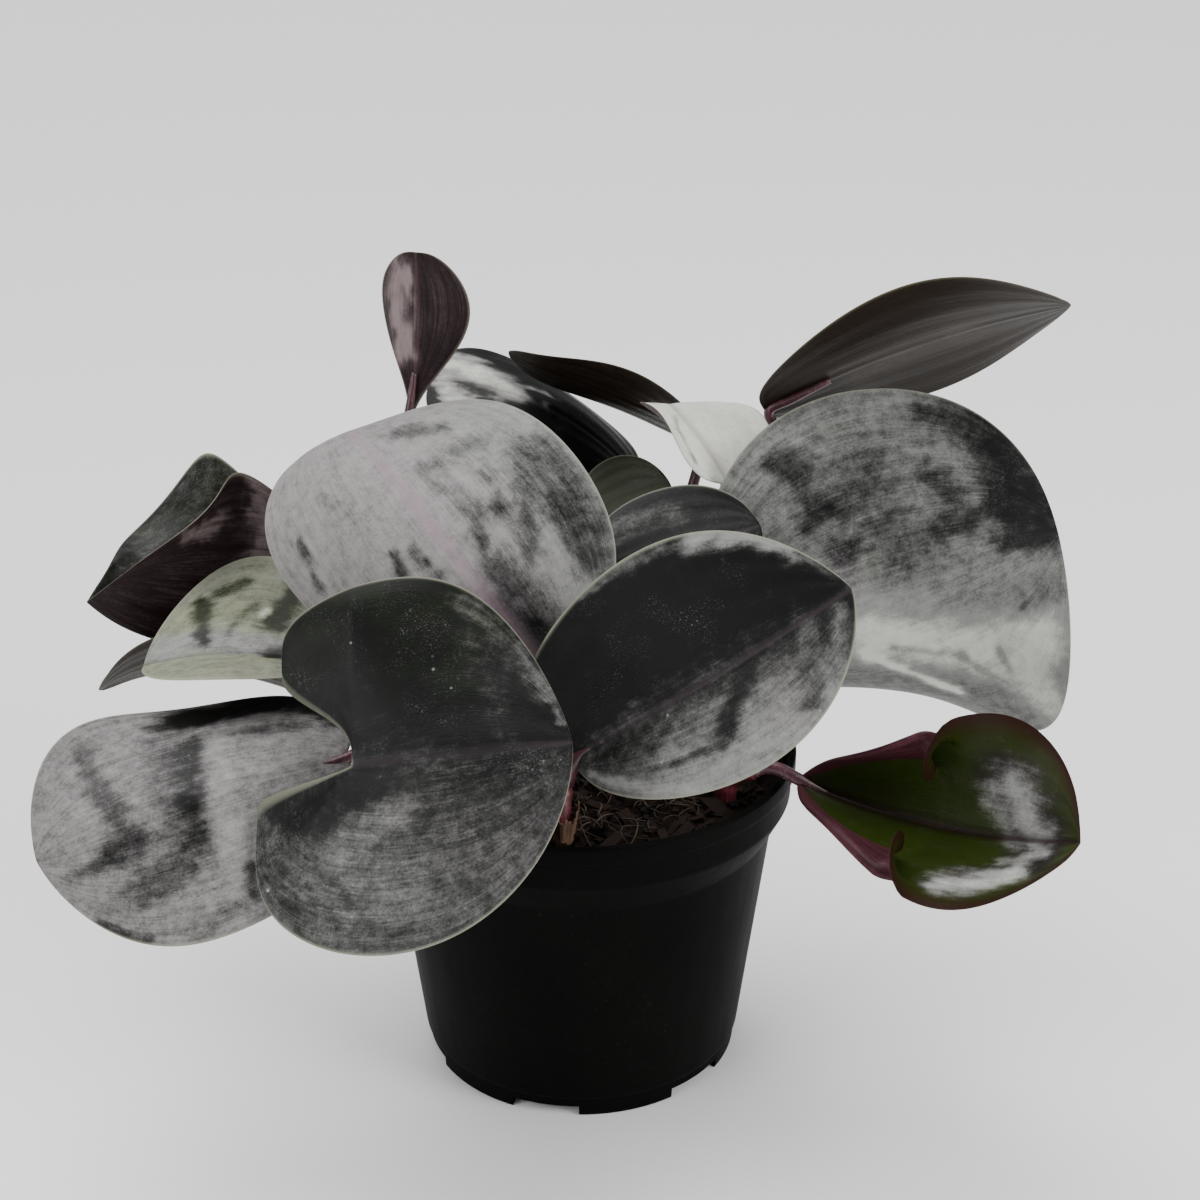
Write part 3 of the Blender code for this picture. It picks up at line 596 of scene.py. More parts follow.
# A leaf is one blade on a round stalk. Its veins run side by side from base to tip, its midrib is sunk above
# and stands out below, and its thin margin is pale. A shape's values are those of its solid or close to
# them.
PLAIN_LEAF = dict(
    height=1.0,  # how far up its shoot the stalk leaves it
    via=(),  # points that the stalk passes on its way from the shoot
    arch=0,  # degrees by which the midrib bends down between base and tip
    hook=0,  # further bend that comes only towards the tip
    sweep=0,  # degrees by which the midrib bends sideways
    twist=0,  # degrees by which the blade turns about its midrib
    fold=(0, 0),  # degrees by which each half, left and right, rises straight from the midrib
    curl_left=(0, 0, 0),  # degrees by which a half curves up towards its margin, at base, middle and tip
    curl_right=(0, 0, 0),
    roll=0,  # degrees by which the left margin rolls at the base
    share=(1, 1),  # width of each half against half the leaf's width
    belly=1.0,  # over 1 for a blade that is widest near its base
    round_base=1.0,  # under 1 for a blunt end, over 1 for a pointed one
    round_tip=1.15,
    lobe=(0, 0),  # how far each half reaches back past the stalk, against the leaf's length
    notch=(0, 0),  # how wide each half still is at its base, against its full width
    lobe_bend=(1.4, 1.4),  # how late the base of each half turns backwards, counted out from the stalk
    hem=(0, 0),  # degrees by which the outer third of each half is turned in over the base
    hem_end=0.0,  # how far up the leaf that reaches
    waves=0.35,  # height in mm of the gentle unevenness of the blade
    silver=0.5,  # how silvery the upper side is, from 0 for dark to 1 and up to 2 for nearly white, with painted light and shade in it
    strokes=(),  # brush strokes of bloom and of painted light and shade: x, y, x, y of both ends and half the breadth in pixels, value
    blush=0.3,  # the tint of the silver: 1 lilac, 0 grey, -1 yellow-green
    blushes=(),  # brush strokes of tint
    mauve=0.3,  # how light the underside is, from 0 to 1, its own tone with painted light in it
    under_strokes=(),  # brush strokes on the underside, of its tone and of painted light
    rib=(0.9, 0.5, 0.7),  # breadth in mm of the midrib's colour at base and tip, and its strength
    rim=(0.55, 0.8),  # breadth in mm of the coloured margin, and its strength
    grid=(130, 100),  # rows and columns of points
)
SMALL_GRID = (100, 76)  # rows and columns of a leaf that is small or mostly hidden
BLADE_THICKNESS, MARGIN_THICKNESS = 0.8, 0.25
STALK_RADIUS, STALK_TAPER, STALK_SIDES = 1.9, (1.0, 0.92, 0.88, 0.85, 0.45), 20


def along(triple, x):
    """A value given at base, middle and tip, on the parabola through the three, at x from 0 to 1."""
    base, middle, tip = triple
    return base * (1 - x) * (1 - 2 * x) + 4 * middle * x * (1 - x) + tip * x * (2 * x - 1)


def midrib(leaf):
    """The midrib as (places from 0 to 1, directions, points), in a frame of forward, up and right.

    Its slope grows evenly by arch and with the cube of the place by hook, and its heading evenly by sweep.
    """
    place = np.linspace(0, 1, 161)
    slope = -np.radians(leaf["arch"] * place + leaf["hook"] * place**3)
    heading = np.radians(leaf["sweep"]) * place
    ways = np.stack([np.cos(slope) * np.cos(heading), np.sin(slope), np.cos(slope) * np.sin(heading)], 1)
    steps = (ways[1:] + ways[:-1]) / 2 * place[1]
    return place, ways, np.vstack([np.zeros(3), np.cumsum(steps, 0)])


def leaf_points(leaf, s, t):
    """Points in mm of a blade's middle surface.

    The value s runs from base (0) to tip (1) and t from left (-1) to right (1). Half the width is a power of
    sin(pi s), blunter where the power is under 1, and lines of equal t run from base to tip like the leaf's
    parallel veins. Each half leaves the midrib at its fold angle and curves by its curl, and the midrib
    itself is laid so that it ends at the leaf's base and tip.
    """
    place, ways, path = midrib(leaf)
    left = t < 0

    def sided(pair):
        return np.where(left, pair[0], pair[1])

    swing = np.pi * s
    half = np.sin(swing) ** (leaf["round_base"] * (1 - s) + leaf["round_tip"] * s)
    half = half + sided(leaf["notch"]) * (1 + np.cos(swing)) / 2 * (1 - half)
    x_middle = ((1 - np.cos(swing)) / 2) ** leaf["belly"]
    x_margin = x_middle - sided(leaf["lobe"]) * (1 - x_middle)
    x = x_middle + (x_margin - x_middle) * np.sin(np.pi / 2 * np.abs(t)) ** sided(leaf["lobe_bend"])
    reach = half * np.abs(t) * sided(leaf["share"])
    hemmed = np.clip((leaf["hem_end"] - s) / 0.09, 0, 1)
    hemmed = sided(leaf["hem"]) * hemmed * hemmed * (3 - 2 * hemmed)
    reach = reach * (1 + np.abs(hemmed) / 360)

    # The frame that carries the drawn midrib onto the line from base to tip
    base, tip = np.array(leaf["base"], float), np.array(leaf["tip"], float)
    length = np.linalg.norm(tip - base) / np.linalg.norm(path[-1])
    drawn_way = unit(path[-1])
    drawn_up = unit(np.array([0, 1, 0]) - drawn_way * drawn_way[1])
    drawn = np.stack([drawn_way, drawn_up, np.cross(drawn_way, drawn_up)])
    real_way = unit(tip - base)
    real_up = unit(np.array(leaf["facing"]) - real_way * (np.array(leaf["facing"]) @ real_way))
    real = np.stack([real_way, real_up, np.cross(real_way, real_up)])

    # The midrib's place, way, up and side at each x; a lobe behind the stalk goes straight on backwards
    inside = np.clip(x, 0, 1)
    way = read_at(inside, place, ways)
    way /= np.linalg.norm(way, axis=-1, keepdims=True)
    point = read_at(inside, place, path) + np.minimum(x, 0)[..., None] * ways[0]
    up = np.array([0, 1.0, 0]) - way * way[..., 1:2]
    up /= np.linalg.norm(up, axis=-1, keepdims=True)
    side = np.cross(way, up)
    turn = np.radians(leaf["twist"]) * (inside - 0.5)[..., None]
    up, side = up * np.cos(turn) + side * np.sin(turn), side * np.cos(turn) - up * np.sin(turn)

    # The cross-section, added up in small straight steps from the midrib outwards
    steps = 24
    shares = (np.arange(steps) + 0.5) / steps
    curl = np.where(left, along(leaf["curl_left"], inside), along(leaf["curl_right"], inside))
    roll = np.where(left, along((leaf["roll"], 0, 0), inside), 0)
    outwards = reach[..., None] * shares
    angle = sided(leaf["fold"])[..., None] + curl[..., None] * outwards + roll[..., None] * outwards**4
    turned_in = np.clip((np.abs(t)[..., None] * shares - 0.64) / 0.10, 0, 1)
    angle = np.radians(angle + hemmed[..., None] * turned_in * turned_in * (3 - 2 * turned_in))
    half_width = leaf["width"] / 2 / length
    across = np.cos(angle).mean(-1) * reach * half_width
    rise = np.sin(angle).mean(-1) * reach * half_width
    local = point + (across * np.sign(t))[..., None] * side + rise[..., None] * up
    return base + local * length @ (drawn.T @ real)


def stalk_route(leaf):
    """A leaf stalk from inside its shoot to a little way along the midrib's underside.

    Its bends are rounded: each point is the mean of 4 mm of the line to each side, or of less near an end.
    """
    shoot = evenly(stem_route(STEMS[leaf["stem"]]), 0.5)
    lengths = lengths_along(shoot)
    reach = leaf["height"] * lengths[-1]
    origin = read_at(reach, lengths, shoot)
    way = unit(origin - read_at(reach - 1.0, lengths, shoot))
    corners = [*leaf["via"], leaf["base"]]
    radius = STEMS[leaf["stem"]]["radius"]
    if leaf["height"] < 1:
        goal = np.array(corners[0]) - origin
        out = unit(goal - way * (goal @ way))
        start = origin + out * (radius - 1.4) - way * 0.6
        lead = origin + out * (radius + 2.3)
        lead = [lead, lead + out * 2 + way * 1.5]
    else:
        start = origin - way * 1.6
        lead = [origin + way * 2.3, origin + way * 4.3]
    middle = leaf_points(leaf, np.array([0.10, 0.16, 0.24]), np.zeros(3))
    left, right = leaf_points(leaf, np.array([0.14, 0.14]), np.array([-0.1, 0.1]))
    under = -unit(np.cross(right - left, middle[1] - middle[0]))
    corners = [start, *lead, *corners, *(middle + under * np.array([[1.6], [1.35], [1.0]]))]
    fine = evenly(np.array(corners, float), 1.0)
    here = np.arange(len(fine))
    reach = np.minimum(4, np.minimum(here, here[::-1]))
    sums = np.vstack([np.zeros(3), np.cumsum(fine, axis=0)])
    mean = (sums[here + reach + 1] - sums[here - reach]) / (2 * reach + 1)[:, None]
    return evenly(mean, 0.9)


def blade_mesh(leaf, seed):
    """A blade's two faces as one closed grid each, with the values along and across it that its finish reads.

    The middle surface is raised by low waves, sunk along the midrib and slightly pleated between its veins.
    The faces lie half the thickness to each side of it, and meet in a rounded edge at the margin.
    """
    rows, columns = leaf["grid"]
    s = np.linspace(0, 1, rows)[:, None]
    t = np.sin(np.linspace(-1, 1, columns) * np.pi / 2)[None] * np.ones_like(s)
    s = s * np.ones_like(t)
    places = leaf_points(leaf, s, t)
    down = np.gradient(places, axis=0)
    right = np.gradient(places, axis=1)
    normal = np.cross(right, down)
    normal /= np.maximum(np.linalg.norm(normal, axis=-1, keepdims=True), 1e-9)
    normal[0], normal[-1] = normal[1], normal[-2]
    steps = np.linalg.norm(np.diff(places, axis=1), axis=2)
    width = np.concatenate([np.zeros((rows, 1)), np.cumsum(steps, 1)], 1)
    middle = columns // 2
    from_rib = np.abs(width - width[:, [middle]] / 2 - width[:, [middle - 1]] / 2)
    from_margin = np.minimum(width, width[:, -1:] - width)
    rib_line = places[:, [middle]]
    run = np.concatenate([[0], np.cumsum(np.linalg.norm(np.diff(rib_line[:, 0], axis=0), axis=1))])
    from_base = np.linalg.norm(places - places[:1], axis=2)
    open_base = np.where(t < 0, leaf["notch"][0], leaf["notch"][1]) > 0
    from_margin = np.where(open_base, np.minimum(from_margin, from_base), from_margin)

    luck = np.random.default_rng(seed)
    waves = np.zeros_like(s)
    for size in (1.0, 0.7, 0.5, 0.35):
        a, b, c, d = luck.uniform(-1, 1, 4)
        lengthwise = size * np.sin((2.2 + 2 * abs(a)) / size * s + 6 * b)
        waves += lengthwise * np.sin((1.6 + 2 * abs(c)) / size * t + 6 * d)
    edge = np.clip(np.abs(t), 0, 1)
    inner = np.clip(from_margin / 4, 0, 1) * np.clip(from_rib / 3, 0, 1)
    pleats = np.sin(np.abs(t) * 22 + 0.6 * np.sin(6 * s)) * inner
    groove = -0.30 * np.exp(-((from_rib / 0.9) ** 2)) * (1 - s) ** 0.5
    lift = leaf["waves"] * waves * np.clip(from_rib / 8, 0, 1) * (0.6 + 0.8 * edge**3) + 0.07 * pleats
    ends = np.clip(np.minimum(run[:, None], run[-1] - run[:, None]) / 2.0, 0, 1)
    lift = lift * ends
    thick = MARGIN_THICKNESS + (BLADE_THICKNESS - MARGIN_THICKNESS) * (1 - edge**2)
    thick = thick / 2 * np.sqrt(np.clip(from_margin / 0.35, 0, 1)) * np.sqrt(np.clip(ends * 3, 0, 1))
    keel = 0.45 * np.exp(-((from_rib / 0.8) ** 2)) * (1 - s) ** 0.7
    top = places + normal * (lift + thick + groove * ends)[..., None]
    below = places + normal * (lift - thick - keel * ends)[..., None]
    faces = grid_quads(rows, columns)
    both = np.vstack([faces, faces[:, ::-1] + rows * columns])
    values = dict(s=s, t=t, rib=from_rib, margin=from_margin, run=run[:, None] * np.ones_like(t))
    return np.vstack([top.reshape(-1, 3), below.reshape(-1, 3)]), both, values


PHOTOGRAPH_WIDTH = 1200  # in pixels, and as many high
MM_A_PIXEL = 0.285  # what a pixel spans on the plant


def in_photograph(places):
    """Where the camera sees points in mm: pixels to the right, pixels down, and how far ahead of it in mm."""
    ahead = unit(CAMERA_HEADING)
    right = unit(np.cross(ahead, (0, 0, 1.0)))
    away = places - np.array(CAMERA_PLACE) / MM
    distance = away @ ahead
    scale = lens.lens / lens.sensor_width * PHOTOGRAPH_WIDTH / distance
    x = PHOTOGRAPH_WIDTH / 2 + away @ right * scale
    y = PHOTOGRAPH_WIDTH / 2 - away @ np.cross(right, ahead) * scale
    return x, y, distance


def blade_place(seen, x, y):
    """The (s, t) of a blade at a pixel: of its points seen within 2 pixels of the best, the nearest one.

    The blade is seen as a grid whose rows go from base to tip and whose columns go from left to right.
    """
    off = np.hypot(seen[0] - x, seen[1] - y)
    row, column = np.unravel_index(np.where(off < off.min() + 2, seen[2], np.inf).argmin(), off.shape)
    return row / (off.shape[0] - 1), 2 * column / (off.shape[1] - 1) - 1


def painted(leaf, places, base, strokes, ragged):
    """A value all over the blade: an even base, painted over by soft brush strokes in their order.

    A stroke goes over the blade between two pixels of the photograph, has half its breadth in pixels, and
    brings its own value. It covers by exp(-(distance / half breadth)^2.4), and ragged heights from -1 to 1
    push its edge in and out.
    """
    s, t = np.meshgrid(np.linspace(0, 1, 201), np.linspace(-1, 1, 201), indexing="ij")
    seen = in_photograph(leaf_points(leaf, s, t))
    value = np.full(places.shape[:2], float(base))
    for first_x, first_y, last_x, last_y, half_breadth, goal in strokes:
        first_s, first_t = blade_place(seen, first_x, first_y)
        last_s, last_t = blade_place(seen, last_x, last_y)
        breadth = half_breadth * MM_A_PIXEL
        line = leaf_points(leaf, np.linspace(first_s, last_s, 8), np.linspace(first_t, last_t, 8))
        start, run = line[:-1], np.diff(line, axis=0)
        share = ((places[:, :, None] - start) * run).sum(-1) / np.maximum((run * run).sum(-1), 1e-9)
        nearest = start + np.clip(share, 0, 1)[..., None] * run
        far = np.linalg.norm(places[:, :, None] - nearest, axis=-1).min(-1)
        far = np.maximum(far + min(2.4, 0.75 * breadth) * ragged, 0)
        value += (goal - value) * np.exp(-((far / breadth) ** 2.4))
    return value


def leaf_nodes(tree):
    """What both skins of a leaf read: its own values, smooth ramps, sums, products and two kinds of noise."""
    where = add(tree, "TexCoord").outputs["Object"]
    vein_place = add(tree, "UVMap", uv_map="blade").outputs["UV"]

    def own(value):
        return add(tree, "Attribute", attribute_name=value, attribute_type="GEOMETRY").outputs["Fac"]

    def ramp(value, low, high, to=(0.0, 1.0)):
        span = {"Value": value, "From Min": low, "From Max": high, "To Min": to[0], "To Max": to[1]}
        return add(tree, "MapRange", span, interpolation_type="SMOOTHSTEP").outputs["Result"]

    def maths(operation, first, second):
        return add(tree, "Math", {0: first, 1: second}, operation=operation).outputs[0]

    def clouds(scale, detail=4.0):
        cloud = {"Vector": where, "Scale": scale, "Detail": detail, "Roughness": 0.65}
        return add(tree, "TexNoise", cloud).outputs["Fac"]

    def streaks(across, lengthwise, detail=3.0):
        drawn_out = add(tree, "Mapping", {"Vector": vein_place, "Scale": (across, lengthwise, 1.0)})
        streak = {"Vector": drawn_out.outputs["Vector"], "Scale": 1.0, "Detail": detail, "Roughness": 0.6}
        return add(tree, "TexNoise", streak).outputs["Fac"]

    def unsettled(value, *parts):
        for noise, strength in parts:
            value = maths("ADD", value, maths("MULTIPLY", maths("SUBTRACT", noise, 0.5), strength))
        return value

    return where, own, ramp, maths, clouds, streaks, unsettled


def upper_skin(name, dark, green, grey, lilac, yellow, rib, rim, specks=1.0):
    """The upper side: a dark, glossy skin under a silver bloom that breaks up into streaks along the veins.

    The leaf's own bloom value says how much bloom there is, and also carries painted light and shade: low
    values paint shade dark, and values over 1 make the skin near-white, for a pale leaf's own colour and for
    painted highlights. Its "blush" says whether it leans to lilac (1), to grey (0) or to yellow-green (-1).
    Pale mineral specks and dried drops lie on it in drifts.
    """
    finish, tree, shader = new_material(name)
    where, own, ramp, maths, clouds, streaks, unsettled = leaf_nodes(tree)
    fibre, mottle, grain = streaks(210.0, 15.0), clouds(300.0, 6.0), clouds(1500.0)
    blush = unsettled(own("blush"), (clouds(70.0), 1.2))
    silver = unsettled(
        own("silver"), (streaks(46.0, 5.0, 4.0), 0.45), (fibre, 0.40), (mottle, 0.75), (grain, 0.50)
    )
    share = ramp(silver, -0.1, 1.1)
    bloom = mixed(tree, ramp(blush, 0.0, 1.0), mixed(tree, ramp(blush, 0.0, -1.0), grey, yellow), lilac)
    ground = mixed(tree, ramp(blush, 0.0, -1.0), dark, green)
    skin = mixed(tree, maths("MULTIPLY", share, share), ground, bloom)
    # Over 1 the skin turns near-white: a pale leaf's own colour, and elsewhere a painted highlight.
    skin = mixed(tree, ramp(silver, 1.0, 1.9), skin, (0.66, 0.67, 0.60))
    drift = clouds(75.0, 3.0)
    dots = add(tree, "TexVoronoi", {"Vector": where, "Scale": 560.0, "Randomness": 1.0}).outputs["Distance"]
    drops = add(tree, "TexVoronoi", {"Vector": where, "Scale": 150.0, "Randomness": 1.0}).outputs["Distance"]
    dot = maths("MULTIPLY", ramp(dots, 0.24, 0.08), ramp(drift, 0.57, 0.72))
    drop = maths("MULTIPLY", ramp(drops, 0.085, 0.040), ramp(drift, 0.53, 0.62))
    haze = maths("MULTIPLY", ramp(clouds(2600.0, 2.0), 0.56, 0.75), ramp(drift, 0.46, 0.70, (0.0, 0.45)))
    lime = maths("MAXIMUM", maths("MAXIMUM", maths("MULTIPLY", dot, 0.4), drop), haze)
    lime = maths("MULTIPLY", lime, 0.42 * specks)
    skin = mixed(tree, lime, skin, (0.50, 0.51, 0.50))
    skin = mixed(tree, own("rib"), skin, rib)
    skin = mixed(tree, own("rim"), skin, rim)
    tree.links.new(skin, shader.inputs["Base Color"])
    satin = maths("ADD", ramp(share, 0.0, 1.0, (0.34, 0.52)), maths("MULTIPLY", lime, 0.3))
    tree.links.new(satin, shader.inputs["Roughness"])
    shader.inputs["Specular IOR Level"].default_value = 0.09
    relief = maths("ADD", maths("MULTIPLY", fibre, 0.6), maths("ADD", maths("MULTIPLY", mottle, 0.5), lime))
    bump = add(tree, "Bump", {"Strength": 0.4, "Distance": 0.0003, "Height": relief})
    tree.links.new(bump.outputs["Normal"], shader.inputs["Normal"])
    return finish


def under_skin(name, deep, light, vein, rim):
    """The underside: satin, finely striped along the veins, from a deep colour to a light one by its own tone
    value, which also carries painted light and a painted sheen.
    """
    finish, tree, shader = new_material(name)
    where, own, ramp, maths, clouds, streaks, unsettled = leaf_nodes(tree)
    lines, thin = streaks(38.0, 2.5, 4.0), streaks(170.0, 8.0)
    mauve = unsettled(own("mauve"), (lines, 0.8), (thin, 0.45), (clouds(60.0), 0.35), (clouds(900.0), 0.35))
    share = ramp(mauve, -0.1, 1.1)
    skin = mixed(tree, maths("MULTIPLY", share, share), deep, light)
    skin = mixed(tree, ramp(own("rib"), 0.1, 0.9, (0.0, 0.55)), skin, vein)
    skin = mixed(tree, own("rim"), skin, rim)
    tree.links.new(skin, shader.inputs["Base Color"])
    tree.links.new(ramp(lines, 0.3, 0.7, (0.36, 0.50)), shader.inputs["Roughness"])
    shader.inputs["Specular IOR Level"].default_value = 0.10
    bump = add(tree, "Bump", {"Strength": 0.35, "Distance": 0.0003, "Height": maths("ADD", thin, lines)})
    tree.links.new(bump.outputs["Normal"], shader.inputs["Normal"])
    return finish


def make_leaf(name, upper, under, **values):
    """One leaf: its blade, with the values that its finishes read, and its stalk, in one mesh."""
    leaf = PLAIN_LEAF | values
    places, faces, across = blade_mesh(leaf, sum(map(ord, name)))
    route = stalk_route(leaf)
    taper = np.interp(np.linspace(0, 1, len(route)), np.linspace(0, 1, len(STALK_TAPER)), STALK_TAPER)
    clasp = 1 + 0.5 * np.exp(-((lengths_along(route) / 2.2) ** 2))
    stalk_places, stalk_faces = closed_rod(route, STALK_RADIUS * taper * clasp, STALK_SIDES)
    stalk_faces = [[corner + len(places) for corner in face] for face in stalk_faces]
    half = len(faces) // 2
    slot_of_face = [0] * half + [1] * half + [2] * len(stalk_faces)
    piece = new_piece(
        name + "_blade", np.vstack([places, stalk_places]), faces.tolist() + stalk_faces,
        [upper, under, stalk_skin], slot_of_face,
    )
    middle = places[:len(places) // 2].reshape(*across["s"].shape, 3)
    base_breadth, tip_breadth, strength = leaf["rib"]
    breadth = base_breadth + (tip_breadth - base_breadth) * across["s"]
    rim_breadth, rim_strength = leaf["rim"]
    sideways, lengthwise = across["rib"] * np.sign(across["t"]), across["run"] * 0.4
    ragged = lumps(sideways, lengthwise, 2.6, 11) * 0.6 + lumps(sideways, lengthwise, 1.1, 12) * 0.4
    for value, points in (
        ("silver", painted(leaf, middle, leaf["silver"], leaf["strokes"], ragged)),
        ("blush", painted(leaf, middle, leaf["blush"], leaf["blushes"], ragged)),
        ("mauve", painted(leaf, middle, leaf["mauve"], leaf["under_strokes"], ragged)),
        ("rib", strength * np.exp(-((across["rib"] / breadth) ** 2))),
        ("rim", rim_strength * np.exp(-((across["margin"] / rim_breadth) ** 2))),
    ):
        flat = np.concatenate([points.ravel(), points.ravel(), np.zeros(len(stalk_places))])
        added = piece.data.attributes.new(value, "FLOAT", "POINT").data
        added.foreach_set("value", flat.astype(np.float32))
    flat = np.stack([across["t"] / 2 + 0.5, across["s"]], -1).reshape(-1, 2)
    flat = np.vstack([flat, flat, np.zeros((len(stalk_places), 2))])
    corner = np.empty(len(piece.data.loops), np.int32)
    piece.data.loops.foreach_get("vertex_index", corner)
    piece.data.uv_layers.new(name="blade").data.foreach_set("uv", flat[corner].ravel().astype(np.float32))
    clean(piece.data)
    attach(piece, "root")
    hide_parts(name)
    return piece


LEAF_BLACK, LEAF_GREEN = (0.0055, 0.0062, 0.0056), (0.0120, 0.0165, 0.0030)
GREY_SILVER, LILAC_SILVER, YELLOW_SILVER = (0.250, 0.252, 0.240), (0.270, 0.250, 0.252), (0.235, 0.250, 0.170)
silvery = upper_skin(
    "silver_bloomed_leaf", LEAF_BLACK, LEAF_GREEN, GREY_SILVER, LILAC_SILVER, YELLOW_SILVER,
    rib=(0.040, 0.028, 0.034), rim=(0.260, 0.265, 0.205),
)
silvery_pink_rib = upper_skin(
    "silver_leaf_with_pink_midrib", LEAF_BLACK, LEAF_GREEN, GREY_SILVER, LILAC_SILVER, YELLOW_SILVER,
    rib=(0.270, 0.195, 0.225), rim=(0.300, 0.300, 0.250),
)
young_green = upper_skin(
    "young_leaf_with_burgundy_rim", (0.012, 0.009, 0.008), (0.0170, 0.0270, 0.0030),
    GREY_SILVER, LILAC_SILVER, YELLOW_SILVER,
    rib=(0.012, 0.004, 0.006), rim=(0.020, 0.006, 0.005), specks=0.15,
)
burgundy_under = under_skin(
    "burgundy_underside", deep=(0.0120, 0.0055, 0.0060), light=(0.260, 0.200, 0.205),
    vein=(0.100, 0.050, 0.058), rim=(0.17, 0.14, 0.12),
)
brown_under = under_skin(
    "brown_underside", deep=(0.0120, 0.0075, 0.0045), light=(0.215, 0.170, 0.130),
    vein=(0.055, 0.038, 0.028), rim=(0.11, 0.10, 0.06),
)
wine_under = under_skin(
    "wine_red_underside", deep=(0.0180, 0.0045, 0.0070), light=(0.210, 0.070, 0.095),
    vein=(0.045, 0.010, 0.018), rim=(0.055, 0.016, 0.020),
)

# The broad leaf at the front right, folded along its midrib
make_leaf(
    "leaf_front_right", silvery, burgundy_under,
    stem="stem_front", height=0.80, base=(-2, -40, 110), tip=(65, -60, 166), facing=(0.04, -0.84, 0.54),
    width=62, arch=30, sweep=-8, fold=(14, 18), curl_left=(6, 10, 0), curl_right=(-8, -10, 0), belly=0.8,
    round_base=0.8, round_tip=1.45, share=(1.2, 0.85), lobe=(0.1, 0), notch=(0.2, 0),
    silver=0.90, blush=0.15, rib=(0.9, 0.7, 0.75), rim=(0.6, 0.85),
    # Its first two strokes paint the upper half dark as painted shade, and the fourth a painted highlight
    # along its upper margin.
    strokes=(
        (570, 700, 800, 575, 82, -0.1), (560, 660, 700, 585, 55, -0.1), (575, 595, 690, 543, 10, 0.46),
        (700, 538, 790, 545, 13, 1), (795, 552, 845, 586, 5, 0.45), (755, 600, 835, 592, 11, 0.05),
        (805, 625, 812, 700, 12, 0.45), (838, 612, 830, 665, 9, 0.56), (620, 712, 770, 624, 5, 0.14),
        (765, 640, 738, 680, 6, 0.16), (742, 675, 722, 740, 9, 0.12), (725, 738, 650, 768, 4, 0.4),
        (672, 705, 650, 752, 7, 0.34), (590, 748, 640, 712, 11, 0.42), (590, 775, 700, 790, 5, 0.98),
        (700, 790, 800, 725, 5, 0.86),
    ),
    blushes=(
        (570, 746, 660, 700, 7, 1.5), (775, 650, 790, 700, 20, 0.8),
    ),
)

# The round leaf at the front left, whose two base lobes nearly meet behind its stalk
make_leaf(
    "leaf_front_round", silvery, burgundy_under,
    stem="stem_left", height=0.86, via=((-49, -52, 112),), base=(-56, -66, 122), tip=(-2, -70, 130),
    facing=(-0.09, -0.71, 0.70), width=100, arch=30, sweep=-8, twist=-10, fold=(-5, 2), roll=-60,
    curl_left=(25, 0, 0), curl_right=(8, 0, 8), belly=1.15, round_base=0.56, round_tip=1.3,
    share=(0.96, 0.95), lobe=(0.36, 0.48), notch=(0.5, 0.16), lobe_bend=(3.2, 1.4),
    silver=0.46, blush=0.15, rib=(1.0, 0.7, 0.55), rim=(0.5, 0.75),
    # Its first two strokes paint the upper-left lobe dark as painted shade where it curls up, and the thin
    # fourth stroke a painted highlight along its right margin.
    strokes=(
        (320, 640, 520, 720, 110, -0.06), (320, 600, 440, 600, 60, -0.06), (465, 600, 545, 690, 16, 0.36),
        (522, 648, 562, 722, 5, 0.55), (470, 640, 500, 730, 16, 0.2), (400, 760, 560, 755, 9, 0.22),
        (430, 800, 550, 800, 40, 0.34), (440, 850, 520, 860, 28, 0.44), (283, 795, 372, 785, 25, 0.02),
        (300, 818, 345, 806, 14, 0.06), (340, 842, 395, 815, 17, 0.62), (340, 870, 410, 890, 26, 0.54),
        (275, 850, 300, 930, 12, 0.34), (320, 880, 360, 905, 7, 0.42), (330, 940, 450, 935, 12, 0.42),
    ),
    blushes=(
        (320, 620, 460, 640, 80, -0.25), (420, 780, 550, 820, 50, 0.7),
    ),
)

# The leaf that hangs out low on the left
make_leaf(
    "leaf_low_left", silvery, burgundy_under,
    stem="stem_left", base=(-60, -44, 112), tip=(-134, -72, 99), facing=(-0.23, -0.68, 0.70),
    width=74, arch=30, sweep=-5, twist=-12, fold=(-10, -12), curl_left=(0, 0, -8), curl_right=(-10, -30, 10),
    belly=0.9, round_base=0.6, round_tip=1.2, share=(0.97, 1.12), lobe=(0.05, 0.05), notch=(0.2, 0.2),
    silver=0.74, blush=0.75, rib=(0.8, 0.4, 0.25), rim=(0.6, 0.7),
    # Its second and thirteenth strokes paint dark and light to each side of a crease across the blade that
    # its shape lacks: painted shade and painted light.
    strokes=(
        (168, 740, 180, 830, 20, 0.5), (190, 745, 200, 838, 13, 0.22), (150, 728, 200, 722, 10, 0.16),
        (185, 718, 330, 708, 18, -0.2), (225, 735, 300, 725, 8, 0.5), (82, 752, 98, 790, 10, 0.46),
        (97, 790, 128, 832, 11, 0.42), (115, 850, 132, 838, 12, 0.32), (78, 872, 95, 865, 6, 0.34),
        (135, 893, 158, 880, 17, 0.42), (160, 882, 188, 858, 14, 0.46), (100, 922, 150, 940, 5, 0.34),
        (220, 740, 240, 880, 12, 0.86), (250, 868, 256, 892, 6, 0.4), (205, 935, 240, 905, 10, 0.62),
    ),
)

